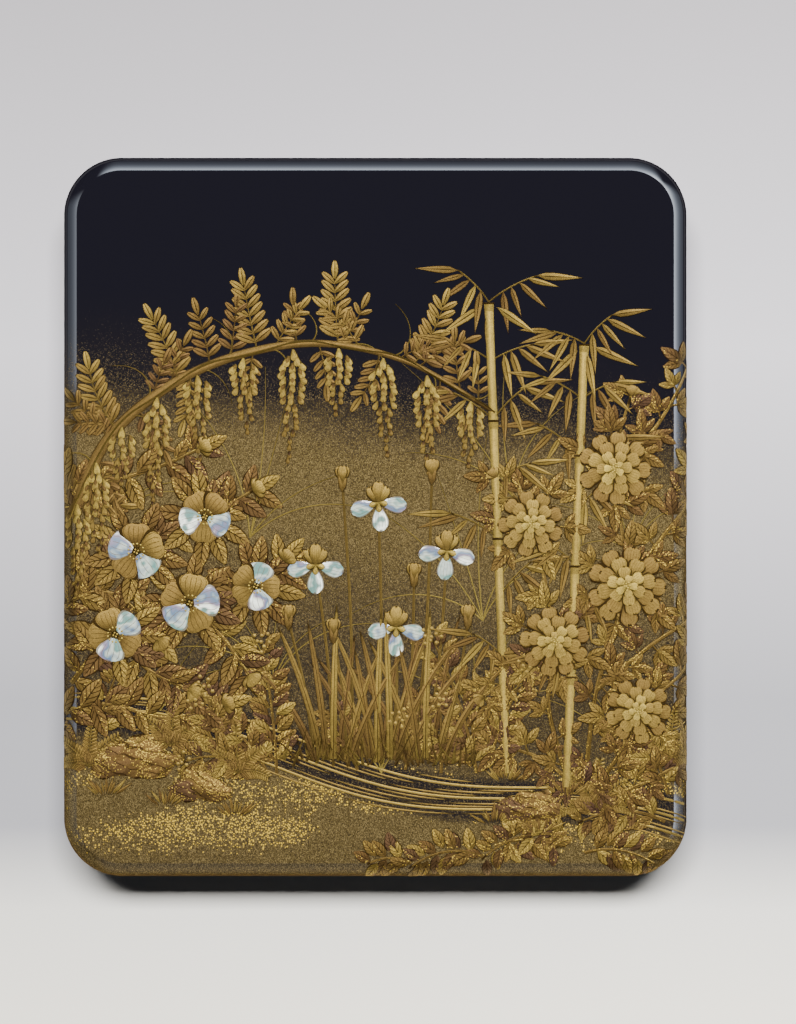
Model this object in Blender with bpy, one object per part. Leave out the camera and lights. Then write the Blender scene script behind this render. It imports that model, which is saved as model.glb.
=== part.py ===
"""Lacquered writing box: a hollow lid over a hollow tray, with a raised garden picture on the lid.

Metres, +Z up. The box stands on the tray's underside, centred on the origin. The picture is seen from
above with +Y at its top: a flowering vine with hanging clusters, bamboo, camellias and peonies, irises
by a stream, and rocks. Thin mother-of-pearl petals lie in shallow pockets cut in the lid.
"""

import math

import bmesh
import bpy
from mathutils import Matrix, Vector

# Driving dimensions of the box
BOX_WIDTH = 0.2150
BOX_LENGTH = 0.2480
LID_TOP_Z = 0.0480
CORNER_RADIUS = 0.0200
CORNER_SEGMENTS = 7

# The rounded rim between the lid's side and its flat panel
RIM_WIDTH = 0.0046
RIM_DROP = 0.0040
RIM_SEGMENTS = 4
RIM_SWEEP = math.radians(62)

# The lid's wood and lacquer
LID_WALL = 0.0050
LID_PLATE = 0.0045

# The tray, with the plinth that the lid stands on
PLINTH_HEIGHT = 0.0100
PLINTH_FOOT_BEVEL = 0.0012
TRAY_FLOOR = 0.0050
TRAY_WALL = 0.0040
TRAY_RIM_Z = 0.0360
LID_CLEARANCE = 0.0006
SEAT_GAP = 0.0003

# How the raised picture is built up
FORM_SINK = 0.0008
SINK_STEP = 0.000004
PICTURE_MARGIN = 0.0008
LEAF_RISE = 0.00045
STEM_RISE = 0.00060
BLOOM_RISE = 0.00050
BLOOM_TIER_RISE = 0.00035
CLUSTER_RISE = 0.00055
STREAM_RISE = 0.00025
ROCK_RISE = 0.00080
ROOT_OVERLAP = 0.0007
CROWN_SHARE = 0.58
CROWN_RISE = 0.00018

# How many points each kind of outline is drawn with
LEAFLET_POINTS = 6
LEAF_POINTS = 8
LOBED_LEAF_POINTS = 11
PETAL_POINTS = 10
CLUSTER_POINTS = 12
STEM_POINTS = 10
BLADE_POINTS = 8
LOBE_POINTS = 4
BOSS_POINTS = 6
STREAM_POINTS = 22
ROCK_POINTS = 10

# Mother-of-pearl petals and their pockets
SHELL_THICKNESS = 0.0008
POCKET_DEPTH = 0.0004
SHELL_GAP = 0.0003

# Finishes
LACQUER_BLACK = (0.010, 0.010, 0.014)
LACQUER_ROUGHNESS = 0.08
PEARL_WHITE = (0.78, 0.86, 0.84)
PEARL_ROUGHNESS = 0.18

# The vine across the picture, and what hangs from it. Places are shares of the panel's half width
# and half length, from its middle.
VINE_PATH = [(-1.02, 0.00), (-0.88, 0.24), (-0.60, 0.42), (-0.24, 0.50), (0.10, 0.45), (0.40, 0.30)]
VINE_THICKNESS = 0.0046
VINE_POINTS = 14
CLUSTER_COUNT = 11
CLUSTER_LENGTH = 0.0400
CLUSTER_WIDTH = 0.0085
CLUSTER_DROP = 0.0015
CLUSTER_TOP_SHARE = 0.30
CLUSTER_SWELL = 4.5
CLUSTER_TAPER = 0.9
COMPOUND_LEAVES = 6
LEAFLET_LENGTH = 0.0098
LEAFLET_WIDTH = 0.0044
LEAFLETS_PER_SIDE = 2
LEAFLET_ANGLE = 52
LEAFLET_FIRST = 0.35
LEAFLET_PITCH = 0.5

# Branches and stems, as paths
STEM_WIDTH = 0.0020
STEM_TAPER = 0.45
CAMELLIA_STEMS = [
    [(-1.02, -0.48), (-0.87, -0.34), (-0.62, -0.25), (-0.40, -0.20)],
    [(-1.02, -0.20), (-0.80, -0.10), (-0.57, 0.00)],
]
PEONY_STEMS = [
    [(0.70, -0.80), (0.74, -0.50), (0.84, -0.20), (0.80, 0.14)],
    [(0.66, -0.80), (0.58, -0.55), (0.60, -0.36), (0.52, -0.02)],
    [(0.72, -0.80), (0.82, -0.68), (0.88, -0.56), (1.02, -0.44)],
]

# Bamboo culms behind the flowers, each its foot and its top, with leaves at the top
CULMS = [((0.44, -0.74), (0.38, 0.62)), ((0.64, -0.78), (0.70, 0.50))]
CULM_WIDTH = 0.0034
CULM_INTERNODES = 4
CULM_JOINT_GAP = 0.0008
CULM_RISE = 0.00035
CULM_LEAVES = 3
CULM_LEAF_LENGTH = 0.0170
CULM_LEAF_WIDTH = 0.0032

# Camellias on the left: place and size factor
CAMELLIAS = [
    (-0.80, -0.10, 1.00),
    (-0.57, 0.00, 0.92),
    (-0.62, -0.25, 1.05),
    (-0.87, -0.34, 0.95),
    (-0.40, -0.20, 0.86),
]
CAMELLIA_RADIUS = 0.0098
CAMELLIA_EYE_SHARE = 0.14
CAMELLIA_PETAL_SHARE = 0.86
CAMELLIA_BOSS_SHARE = 0.26
CAMELLIA_TURN = 31
CAMELLIA_PETALS = 5
CAMELLIA_SHELL_PETALS = (1, 3)
CAMELLIA_LEAVES = 3
CAMELLIA_LEAF_LENGTH = 0.0130
CAMELLIA_LEAF_WIDTH = 0.0060

# Peonies on the right: place and size factor
PEONIES = [
    (0.80, 0.14, 1.00),
    (0.52, -0.02, 0.90),
    (0.84, -0.20, 1.08),
    (0.60, -0.36, 0.96),
    (0.88, -0.56, 0.90),
]
PEONY_RADIUS = 0.0125
PEONY_TIERS = ((1.0, 24), (0.64, 16), (0.26, 8))
PEONY_LOBE_DIP = 0.16
PEONY_LEAVES = 3
PEONY_LEAF_LENGTH = 0.0150

# Irises in the middle: the flower's place, and the root below it
IRISES = [(-0.20, -0.14), (0.01, 0.04), (0.24, -0.10), (0.07, -0.32)]
IRIS_ROOT_Y = -0.70
IRIS_ROOT_GATHER = 0.85
IRIS_STEM_WIDTH = 0.0014
IRIS_STEM_SWAY = 0.01
IRIS_FALLS = 3
IRIS_FALL_REACH = 0.0012
IRIS_FALL_SPREAD = 78
IRIS_FALL_LENGTH = 0.0085
IRIS_FALL_WIDTH = 0.0058
IRIS_STANDARD_SHARE = 0.8
IRIS_BLADES = 3
IRIS_BLADE_LENGTH = 0.0560
IRIS_BLADE_WIDTH = 0.0034
IRIS_BLADE_SPACING = 0.0042
IRIS_BLADE_BEND = 0.13

# The stream and the rocks
STREAM_LINES = 3
STREAM_START_Y = -0.52
STREAM_END_Y = -0.86
STREAM_SPACING = 0.0050
STREAM_LINE_WIDTH = 0.0011
STREAM_SWAY = 0.0050
STREAM_WAVES = 1.3
ROCKS = [(-0.80, -0.70, 1.00), (-0.58, -0.78, 0.73), (0.52, -0.84, 0.80)]
ROCK_RADIUS = 0.0150
ROCK_DEPTH_SHARE = 0.55


def clear_scene():
    """Removes whatever the scene holds."""
    for obj in list(bpy.data.objects):
        bpy.data.objects.remove(obj)


def named_collection(name):
    """A new collection in the scene."""
    made = bpy.data.collections.new(name)
    bpy.context.scene.collection.children.link(made)
    return made


def finish(name, colour, roughness):
    """A plain finish of a piece's own."""
    material = bpy.data.materials.new(name)
    material.use_nodes = True
    shader = material.node_tree.nodes["Principled BSDF"]
    shader.inputs["Base Color"].default_value = (*colour, 1.0)
    shader.inputs["Roughness"].default_value = roughness
    shader.inputs["Metallic"].default_value = 0.0
    return material


def object_from(bm, name, collection, material=None):
    """Makes a named object of the bmesh."""
    bmesh.ops.recalc_face_normals(bm, faces=bm.faces)
    mesh = bpy.data.meshes.new(name)
    bm.to_mesh(mesh)
    bm.free()
    obj = bpy.data.objects.new(name, mesh)
    collection.objects.link(obj)
    if material is not None:
        mesh.materials.append(material)
    return obj


def cutter_from(bm, name, collection):
    """A helper solid that shapes another piece and isn't a piece itself."""
    obj = object_from(bm, name, collection)
    obj.hide_render = True
    obj.display_type = "WIRE"
    return obj


def rounded_block(width, length, low_z, high_z, radius):
    """A closed block with its four upright edges rounded."""
    bm = bmesh.new()
    bmesh.ops.create_cube(bm, size=1.0)
    size = Matrix.Diagonal((width, length, high_z - low_z, 1.0))
    middle = Matrix.Translation((0, 0, (low_z + high_z) / 2))
    bmesh.ops.transform(bm, matrix=middle @ size, verts=bm.verts)
    upright = [e for e in bm.edges if abs(e.verts[0].co.z - e.verts[1].co.z) > 0.5 * (high_z - low_z)]
    bmesh.ops.bevel(
        bm, geom=upright, offset=radius, segments=CORNER_SEGMENTS, profile=0.5, affect="EDGES", material=-1
    )
    return bm


def level_face(bm, highest):
    """The highest or the lowest level face."""
    level = [f for f in bm.faces if abs(f.normal.z) > 0.99]
    return (max if highest else min)(level, key=lambda f: f.calc_center_median().z)


def step_face(bm, face, inward, z):
    """Insets a level face and moves it to a height, and returns it."""
    bmesh.ops.inset_region(bm, faces=[face], thickness=inward, depth=0, use_even_offset=True)
    for vert in face.verts:
        vert.co.z = z
    bm.normal_update()
    return face


def sink_face(bm, face, inward, z):
    """Insets a level face, then pushes it straight up or down to a height, which leaves an upright wall."""
    bmesh.ops.inset_region(bm, faces=[face], thickness=inward, depth=0, use_even_offset=True)
    bmesh.ops.inset_region(bm, faces=[face], thickness=0, depth=0, use_even_offset=True)
    for vert in face.verts:
        vert.co.z = z
    bm.normal_update()
    return face


def rim_profile():
    """Steps of the rounded rim from the side inwards, each an inset so far and a height."""
    steps = []
    for i in range(1, RIM_SEGMENTS + 1):
        angle = RIM_SWEEP * i / RIM_SEGMENTS
        inward = RIM_WIDTH * (1 - math.cos(angle)) / (1 - math.cos(RIM_SWEEP))
        height = LID_TOP_Z - RIM_DROP + RIM_DROP * math.sin(angle) / math.sin(RIM_SWEEP)
        steps.append((inward, height))
    return steps


def build_lid_shell():
    """The hollow lid: side walls, the rounded rim and the flat panel."""
    bm = rounded_block(
        BOX_WIDTH, BOX_LENGTH, PLINTH_HEIGHT + SEAT_GAP, LID_TOP_Z - RIM_DROP, CORNER_RADIUS
    )
    bm.normal_update()
    top = level_face(bm, highest=True)
    reached = 0.0
    for inward, height in rim_profile():
        top = step_face(bm, top, inward - reached, height)
        reached = inward
    sink_face(bm, level_face(bm, highest=False), LID_WALL, LID_TOP_Z - LID_PLATE)
    return bm


def build_tray(collection):
    """The tray: the plinth under the lid, the wall that stands inside the lid, and the floor."""
    bm = rounded_block(BOX_WIDTH, BOX_LENGTH, PLINTH_FOOT_BEVEL, PLINTH_HEIGHT, CORNER_RADIUS)
    bm.normal_update()
    step_face(bm, level_face(bm, highest=False), PLINTH_FOOT_BEVEL, 0.0)
    rim = sink_face(bm, level_face(bm, highest=True), LID_WALL + LID_CLEARANCE, TRAY_RIM_Z)
    sink_face(bm, rim, TRAY_WALL, TRAY_FLOOR)
    return object_from(bm, "tray", collection, finish("tray_lacquer", LACQUER_BLACK, LACQUER_ROUGHNESS))


def spot(share_x, share_y):
    """A place on the panel from shares of its half width and half length."""
    return Vector((share_x * (BOX_WIDTH / 2 - RIM_WIDTH), share_y * (BOX_LENGTH / 2 - RIM_WIDTH), 0))


def turned(place, degrees):
    """A frame at a place on the panel, turned about Z."""
    return Matrix.Translation(place) @ Matrix.Rotation(math.radians(degrees), 4, "Z")


def smooth_point(path, t):
    """A point on the smooth curve through the path's points, for t from 0 to 1."""
    spans = len(path) - 1
    i = min(int(t * spans), spans - 1)
    u = t * spans - i
    p0, p1, p2, p3 = (path[min(max(k, 0), spans)] for k in (i - 1, i, i + 1, i + 2))
    return Vector(
        [
            0.5 * (2 * b + (c - a) * u + (2 * a - 5 * b + 4 * c - d) * u**2 + (3 * b - a - 3 * c + d) * u**3)
            for a, b, c, d in zip(p0, p1, p2, p3)
        ]
    )


def leaf_outline(length, width):
    """A leaf with a point at each end, its root at the origin, growing along +X."""
    return lambda a: (length * (1 + math.cos(a)) / 2, width / 2 * math.sin(a) * (1 - 0.3 * math.cos(a)))


def petal_outline(length, width):
    """A petal that is narrow at the origin and broad and blunt at its end along +X."""
    return lambda a: (length * (1 + math.cos(a)) / 2, width / 2 * math.sin(a) * (1 + 0.35 * math.cos(a)))


def bar_outline(length, width):
    """A straight bar with square ends, from the origin along +X."""
    def point(a):
        corner = a + math.pi / 4
        return length if math.cos(corner) > 0 else 0.0, math.copysign(width / 2, math.sin(corner))

    return point


def scallop_outline(radius, lobes, dip):
    """A round flower outline with a lobe for each petal."""
    def point(a):
        r = radius * (1 - dip * abs(math.sin(lobes * a / 2)) ** 3)
        return r * math.cos(a), r * math.sin(a)

    return point


def lobed_leaf_outline(length):
    """A leaf with one long lobe and two side lobes, its middle at the origin, growing along +X."""
    def point(a):
        turn = (a + math.pi) % (2 * math.pi) - math.pi
        reach = 0.30
        for lobe, share in ((0.0, 0.70), (1.1, 0.42), (-1.1, 0.42)):
            reach = max(reach, share * math.exp(-(((turn - lobe) / 0.42) ** 2)))
        return length * reach * math.cos(a), length * reach * math.sin(a)

    return point


def rock_outline(radius, turn):
    """A low, uneven rock, with its bulges turned so far."""
    def point(a):
        r = radius * (1 + 0.12 * math.sin(3 * a + turn) + 0.07 * math.sin(5 * a))
        return r * math.cos(a), ROCK_DEPTH_SHARE * r * math.sin(a)

    return point


def band_outline(centre, half_width):
    """A long band with a point at each end, from its middle line centre(t) and half_width(t)."""
    def point(a):
        t = (1 - math.cos(a)) / 2
        along = centre(min(t + 0.01, 1.0)) - centre(max(t - 0.01, 0.0))
        side = Vector((-along.y, along.x)).normalized() * half_width(t) * (1 if math.sin(a) > 0 else -1)
        middle = centre(t)
        return middle.x + side.x, middle.y + side.y

    return point


def raise_form(bm, outline, segments, place, rise, crowned=True, low_z=None):
    """Adds one closed raised form to the bmesh: an outline with an upright side and a crown."""
    older = set(bm.verts)
    made = bmesh.ops.create_circle(bm, cap_ends=True, radius=1.0, segments=segments)["verts"]
    floor = made[0].link_faces[0]
    for i, vert in enumerate(made):
        x, y = outline(2 * math.pi * i / segments)
        vert.co = Vector((x, y, 0))
    grown = bmesh.ops.extrude_face_region(bm, geom=[floor])["geom"]
    top = next(g for g in grown if isinstance(g, bmesh.types.BMFace))
    step = low_z if low_z is not None else LID_TOP_Z - FORM_SINK - SINK_STEP * (len(bm.verts) % 97)
    for vert in made:
        vert.co.z = step
    for vert in top.verts:
        vert.co.z = LID_TOP_Z + rise
    if crowned:
        middle = top.calc_center_median()
        bmesh.ops.inset_region(bm, faces=[top], thickness=0, depth=0)
        for vert in top.verts:
            vert.co = middle + (vert.co - middle) * CROWN_SHARE
            vert.co.z += CROWN_RISE
    bmesh.ops.transform(bm, matrix=place, verts=[v for v in bm.verts if v not in older])


def add_vine(collection):
    """The vine's stem as a tapering tube, flattened and half sunk in the lid."""
    curve = bpy.data.curves.new("vine", "CURVE")
    curve.dimensions = "3D"
    curve.bevel_depth = VINE_THICKNESS / 2
    curve.bevel_resolution = 1
    curve.use_fill_caps = True
    spline = curve.splines.new("POLY")
    spline.points.add(VINE_POINTS - 1)
    for i, point in enumerate(spline.points):
        t = i / (VINE_POINTS - 1)
        place = spot(*smooth_point(VINE_PATH, t))
        point.co = (place.x, place.y, 0, 1)
        point.radius = 1.0 - 0.7 * t
    tube = bpy.data.objects.new("vine", curve)
    collection.objects.link(tube)
    bpy.context.view_layer.update()
    evaluated = tube.evaluated_get(bpy.context.evaluated_depsgraph_get())
    mesh = bpy.data.meshes.new_from_object(evaluated)
    bpy.data.objects.remove(tube)
    bm = bmesh.new()
    bm.from_mesh(mesh)
    bmesh.ops.remove_doubles(bm, verts=bm.verts, dist=0.00001)
    flatten = STEM_RISE / (VINE_THICKNESS / 2)
    for vert in bm.verts:
        vert.co.z = LID_TOP_Z + vert.co.z * flatten
    return bm


def add_stem(bm, path, width):
    """A tapering stem along a path over the panel."""

    def centre(u):
        return spot(*smooth_point(path, u))

    def half_width(u):
        return width / 2 * (1 - STEM_TAPER * u)

    raise_form(bm, band_outline(centre, half_width), STEM_POINTS, Matrix(), STEM_RISE, crowned=False)


def add_stems(bm):
    """The branches of the camellias and the peonies, and the stems of the irises."""
    for path in CAMELLIA_STEMS + PEONY_STEMS:
        add_stem(bm, path, STEM_WIDTH)
    for x, y in IRISES:
        root = (x * IRIS_ROOT_GATHER, IRIS_ROOT_Y)
        middle = (x * (1 + IRIS_ROOT_GATHER) / 2 + IRIS_STEM_SWAY, (y + IRIS_ROOT_Y) / 2)
        add_stem(bm, [root, middle, (x, y)], IRIS_STEM_WIDTH)


def add_clusters(bm):
    """Flower clusters that hang from the vine, each a tapering band."""
    for i in range(CLUSTER_COUNT):
        t = (i + 0.6) / (CLUSTER_COUNT + 0.4)
        root = spot(*smooth_point(VINE_PATH, t))
        root.y -= CLUSTER_DROP
        length = CLUSTER_LENGTH * (0.78 + 0.22 * math.sin(2.4 * i))
        lean = 0.06 * math.sin(1.7 * i)

        def centre(u, length=length, lean=lean):
            return Vector((lean * length * u * u, -length * u))

        def half_width(u):
            swell = min(1.0, CLUSTER_TOP_SHARE + CLUSTER_SWELL * u)
            return CLUSTER_WIDTH / 2 * swell * (1 - CLUSTER_TAPER * u)

        outline = band_outline(centre, half_width)
        raise_form(bm, outline, CLUSTER_POINTS, turned(root, 0), CLUSTER_RISE, crowned=False)


def add_compound_leaves(bm):
    """Feathered leaves along the vine: leaflets in pairs on each side of a midrib, and one at its end."""
    outline = leaf_outline(LEAFLET_LENGTH, LEAFLET_WIDTH)
    crossed = Matrix.Translation((-ROOT_OVERLAP, 0, 0))
    for i in range(COMPOUND_LEAVES):
        t = (i + 0.4) / (COMPOUND_LEAVES + 0.6)
        root = spot(*smooth_point(VINE_PATH, t))
        along = spot(*smooth_point(VINE_PATH, t + 0.02)) - spot(*smooth_point(VINE_PATH, t - 0.02))
        heading = math.degrees(math.atan2(along.y, along.x)) + 90 + 14 * math.sin(2.1 * i)
        frame = turned(root, min(heading, 128))
        for pair in range(LEAFLETS_PER_SIDE):
            reach = LEAFLET_LENGTH * (LEAFLET_FIRST + LEAFLET_PITCH * pair)
            for side in (-1, 1):
                place = frame @ turned(Vector((reach, 0, 0)), side * LEAFLET_ANGLE) @ crossed
                raise_form(bm, outline, LEAFLET_POINTS, place, LEAF_RISE, crowned=False)
        end = LEAFLET_LENGTH * (LEAFLET_FIRST + LEAFLET_PITCH * LEAFLETS_PER_SIDE)
        tip = frame @ turned(Vector((end, 0, 0)), 0)
        raise_form(bm, outline, LEAFLET_POINTS, tip, LEAF_RISE, crowned=False)


def camellia_petals():
    """Each camellia petal: its flower's number, its own number, its frame, length and width."""
    for flower, (x, y, size) in enumerate(CAMELLIAS):
        radius = CAMELLIA_RADIUS * size
        for petal in range(CAMELLIA_PETALS):
            heading = 90 + CAMELLIA_TURN * flower + 360 * petal / CAMELLIA_PETALS
            frame = turned(spot(x, y), heading) @ Matrix.Translation((CAMELLIA_EYE_SHARE * radius, 0, 0))
            length = CAMELLIA_PETAL_SHARE * radius
            width = 2 * CAMELLIA_PETAL_SHARE * length * math.tan(math.pi / CAMELLIA_PETALS)
            yield flower, petal, frame, length, width


def iris_falls():
    """Each hanging iris petal: its flower's number, its own number and its frame."""
    for flower, (x, y) in enumerate(IRISES):
        for fall in range(IRIS_FALLS):
            heading = 270 + IRIS_FALL_SPREAD * (fall - (IRIS_FALLS - 1) / 2) + 7 * math.sin(2.0 * flower)
            frame = turned(spot(x, y), heading) @ Matrix.Translation((IRIS_FALL_REACH, 0, 0))
            yield flower, fall, frame


def add_camellias(bm):
    """The camellias' gold petals, their bosses and the leaves round them."""
    for _, petal, frame, length, width in camellia_petals():
        if petal not in CAMELLIA_SHELL_PETALS:
            raise_form(bm, petal_outline(length, width), LEAF_POINTS, frame, BLOOM_RISE, crowned=False)
    for flower, (x, y, size) in enumerate(CAMELLIAS):
        radius = CAMELLIA_RADIUS * size
        boss = scallop_outline(CAMELLIA_BOSS_SHARE * radius, 4, 0.1)
        raise_form(bm, boss, BOSS_POINTS, turned(spot(x, y), 0), BLOOM_RISE + BLOOM_TIER_RISE, crowned=False)
        for leaf in range(CAMELLIA_LEAVES):
            between = 90 + CAMELLIA_TURN * flower + 180 / CAMELLIA_PETALS
            heading = between + 360 * leaf / CAMELLIA_LEAVES + 12 * math.sin(3.0 * leaf + flower)
            frame = turned(spot(x, y), heading) @ Matrix.Translation((0.9 * radius, 0, 0))
            outline = leaf_outline(CAMELLIA_LEAF_LENGTH, CAMELLIA_LEAF_WIDTH)
            raise_form(bm, outline, LEAF_POINTS, frame, LEAF_RISE, crowned=False)


def add_peonies(bm):
    """Peonies in three tiers, with lobed leaves round them."""
    for flower, (x, y, size) in enumerate(PEONIES):
        radius = PEONY_RADIUS * size
        frame = turned(spot(x, y), 19 * flower)
        for tier, (share, points) in enumerate(PEONY_TIERS):
            outline = scallop_outline(share * radius, points // LOBE_POINTS, PEONY_LOBE_DIP)
            rise = BLOOM_RISE + BLOOM_TIER_RISE * tier
            raise_form(bm, outline, points, frame, rise, crowned=False)
        for leaf in range(PEONY_LEAVES):
            heading = 150 + 360 * leaf / PEONY_LEAVES + 24 * flower
            reach = Matrix.Translation((radius + 0.2 * PEONY_LEAF_LENGTH, 0, 0))
            outline = lobed_leaf_outline(PEONY_LEAF_LENGTH)
            place = turned(spot(x, y), heading) @ reach
            raise_form(bm, outline, LOBED_LEAF_POINTS, place, LEAF_RISE, crowned=False)


def add_bamboo(bm):
    """The bamboo: culms of straight internodes, with narrow leaves that hang from the top."""
    for number, (foot, top) in enumerate(CULMS):
        start = spot(*foot)
        rise = spot(*top) - start
        heading = math.degrees(math.atan2(rise.y, rise.x))
        pitch = rise.length / CULM_INTERNODES
        for internode in range(CULM_INTERNODES):
            place = turned(start + rise * internode / CULM_INTERNODES, heading)
            bar = bar_outline(pitch - CULM_JOINT_GAP, CULM_WIDTH)
            raise_form(bm, bar, 4, place, CULM_RISE, crowned=False)
        for leaf in range(CULM_LEAVES):
            droop = 214 + 56 * leaf + 11 * number
            place = turned(start + rise, droop) @ Matrix.Translation((CULM_WIDTH, 0, 0))
            outline = leaf_outline(CULM_LEAF_LENGTH, CULM_LEAF_WIDTH)
            raise_form(bm, outline, LEAFLET_POINTS, place, LEAF_RISE, crowned=False)


def add_irises(bm):
    """Iris blades that rise from the stream's bank, and the upright gold petals of the flowers."""
    for flower, (x, y) in enumerate(IRISES):
        for side in (-1, 1):
            frame = turned(spot(x, y), 90 + 24 * side) @ Matrix.Translation((-ROOT_OVERLAP, 0, 0))
            length = IRIS_STANDARD_SHARE * IRIS_FALL_LENGTH
            outline = petal_outline(length, IRIS_STANDARD_SHARE * IRIS_FALL_WIDTH)
            raise_form(bm, outline, LEAFLET_POINTS, frame, BLOOM_RISE, crowned=False)
        root = spot(x * IRIS_ROOT_GATHER, IRIS_ROOT_Y) - Vector((0, ROOT_OVERLAP, 0))
        for blade in range(IRIS_BLADES):
            spread = blade - (IRIS_BLADES - 1) / 2
            length = IRIS_BLADE_LENGTH * (1 - 0.12 * abs(spread) + 0.08 * math.sin(2.7 * flower + blade))
            bend = IRIS_BLADE_BEND * spread * length

            def centre(u, length=length, bend=bend, spread=spread):
                return Vector((IRIS_BLADE_SPACING * spread + bend * u * u, length * u))

            def half_width(u):
                return IRIS_BLADE_WIDTH / 2 * (1 - 0.5 * u)

            outline = band_outline(centre, half_width)
            raise_form(bm, outline, BLADE_POINTS, turned(root, 0), LEAF_RISE, crowned=False)


def add_stream(bm):
    """The stream's lines, which run across the picture side by side and sway together."""
    span = BOX_WIDTH - 2 * RIM_WIDTH
    fall = (STREAM_END_Y - STREAM_START_Y) * (BOX_LENGTH / 2 - RIM_WIDTH)
    for line in range(STREAM_LINES):
        root = spot(-1, STREAM_START_Y) + Vector((0, -STREAM_SPACING * line, 0))

        def centre(u, line=line):
            sway = STREAM_SWAY * math.sin(2 * math.pi * (STREAM_WAVES * u + 0.04 * line))
            return Vector((span * u, fall * u + sway))

        outline = band_outline(centre, lambda u: STREAM_LINE_WIDTH / 2)
        raise_form(bm, outline, STREAM_POINTS, turned(root, 0), STREAM_RISE, crowned=False)


def add_rocks(bm):
    """Rocks on the banks."""
    for number, (x, y, size) in enumerate(ROCKS):
        outline = rock_outline(ROCK_RADIUS * size, 1.6 * number)
        raise_form(bm, outline, ROCK_POINTS, turned(spot(x, y), 0), ROCK_RISE)


def build_picture(cutters):
    """Every raised gold form, cut off just inside the arris of the panel."""
    bm = bmesh.new()
    for add in (add_compound_leaves, add_clusters, add_stems, add_stream, add_irises, add_camellias):
        add(bm)
    add_bamboo(bm)
    add_peonies(bm)
    add_rocks(bm)
    picture = cutter_from(bm, "picture", cutters)
    vine = cutter_from(add_vine(cutters), "vine_stem", cutters)
    inset = RIM_WIDTH + PICTURE_MARGIN
    frame = cutter_from(
        rounded_block(
            BOX_WIDTH - 2 * inset,
            BOX_LENGTH - 2 * inset,
            LID_TOP_Z - 3 * FORM_SINK,
            LID_TOP_Z + 4 * ROCK_RISE,
            CORNER_RADIUS - inset,
        ),
        "picture_frame",
        cutters,
    )
    join(picture, vine, "UNION", overlapping=True)
    join(picture, frame, "INTERSECT")
    return picture


def join(obj, other, operation, overlapping=False):
    """Adds a Boolean with another solid, whose forms may run into each other."""
    modifier = obj.modifiers.new(operation.lower(), "BOOLEAN")
    modifier.object = other
    modifier.operation = operation
    modifier.solver = "EXACT"
    modifier.use_self = overlapping


def build_pockets(cutters):
    """The pockets for the shell petals, each its petal's outline with the gap round it."""
    bm = bmesh.new()
    low_z = LID_TOP_Z - POCKET_DEPTH
    high = SHELL_THICKNESS + 4 * ROCK_RISE
    grow = Matrix.Translation((-SHELL_GAP, 0, 0))
    for _, petal, frame, length, width in camellia_petals():
        if petal in CAMELLIA_SHELL_PETALS:
            outline = petal_outline(length + 2 * SHELL_GAP, width + 2.6 * SHELL_GAP)
            raise_form(bm, outline, PETAL_POINTS, frame @ grow, high, crowned=False, low_z=low_z)
    for _, _, frame in iris_falls():
        outline = petal_outline(IRIS_FALL_LENGTH + 2 * SHELL_GAP, IRIS_FALL_WIDTH + 2.6 * SHELL_GAP)
        raise_form(bm, outline, PETAL_POINTS, frame @ grow, high, crowned=False, low_z=low_z)
    return cutter_from(bm, "shell_pockets", cutters)


def build_shell_petal(name, outline, frame, lid, collection):
    """One mother-of-pearl petal on the lid, lying in its pocket. Its origin is at the petal's root."""
    bm = bmesh.new()
    down = Matrix.Translation((0, 0, -LID_TOP_Z))
    raise_form(bm, outline, PETAL_POINTS, down, SHELL_THICKNESS, crowned=False, low_z=LID_TOP_Z)
    petal = object_from(bm, name, collection, finish(name + "_pearl", PEARL_WHITE, PEARL_ROUGHNESS))
    petal.parent = lid
    petal.matrix_local = Matrix.Translation((0, 0, LID_TOP_Z - POCKET_DEPTH + SHELL_GAP)) @ frame


def build_shell_petals(lid, collection):
    """All the mother-of-pearl petals."""
    for flower, petal, frame, length, width in camellia_petals():
        if petal in CAMELLIA_SHELL_PETALS:
            name = f"camellia_{flower + 1}_shell_petal_{petal + 1}"
            build_shell_petal(name, petal_outline(length, width), frame, lid, collection)
    for flower, fall, frame in iris_falls():
        name = f"iris_{flower + 1}_shell_petal_{fall + 1}"
        outline = petal_outline(IRIS_FALL_LENGTH, IRIS_FALL_WIDTH)
        build_shell_petal(name, outline, frame, lid, collection)


def build_writing_box():
    """Builds every piece of the box."""
    clear_scene()
    pieces = named_collection("writing_box")
    cutters = named_collection("cutters")
    lid_finish = finish("lid_lacquer", LACQUER_BLACK, LACQUER_ROUGHNESS)
    lid = object_from(build_lid_shell(), "lid", pieces, lid_finish)
    join(lid, build_picture(cutters), "UNION")
    join(lid, build_pockets(cutters), "DIFFERENCE")
    lid.parent = build_tray(pieces)
    build_shell_petals(lid, pieces)


build_writing_box()
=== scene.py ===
"""Lacquered writing box: a black lid with a raised gold and mother-of-pearl garden, over its tray.

Metres, +Z up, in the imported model's frame. The lid's picture is laid out on a flat plan, as shares of
the panel's half width and half length, and is then laid over the panel, the rounded rim and the side.
"""

from __future__ import annotations

import logging
import math
import random
from collections.abc import Callable, Iterable, Sequence
from dataclasses import dataclass
from enum import Enum
from functools import partial, reduce

import bmesh
import bpy
import numpy as np
from mathutils import Matrix, Vector, noise


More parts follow.
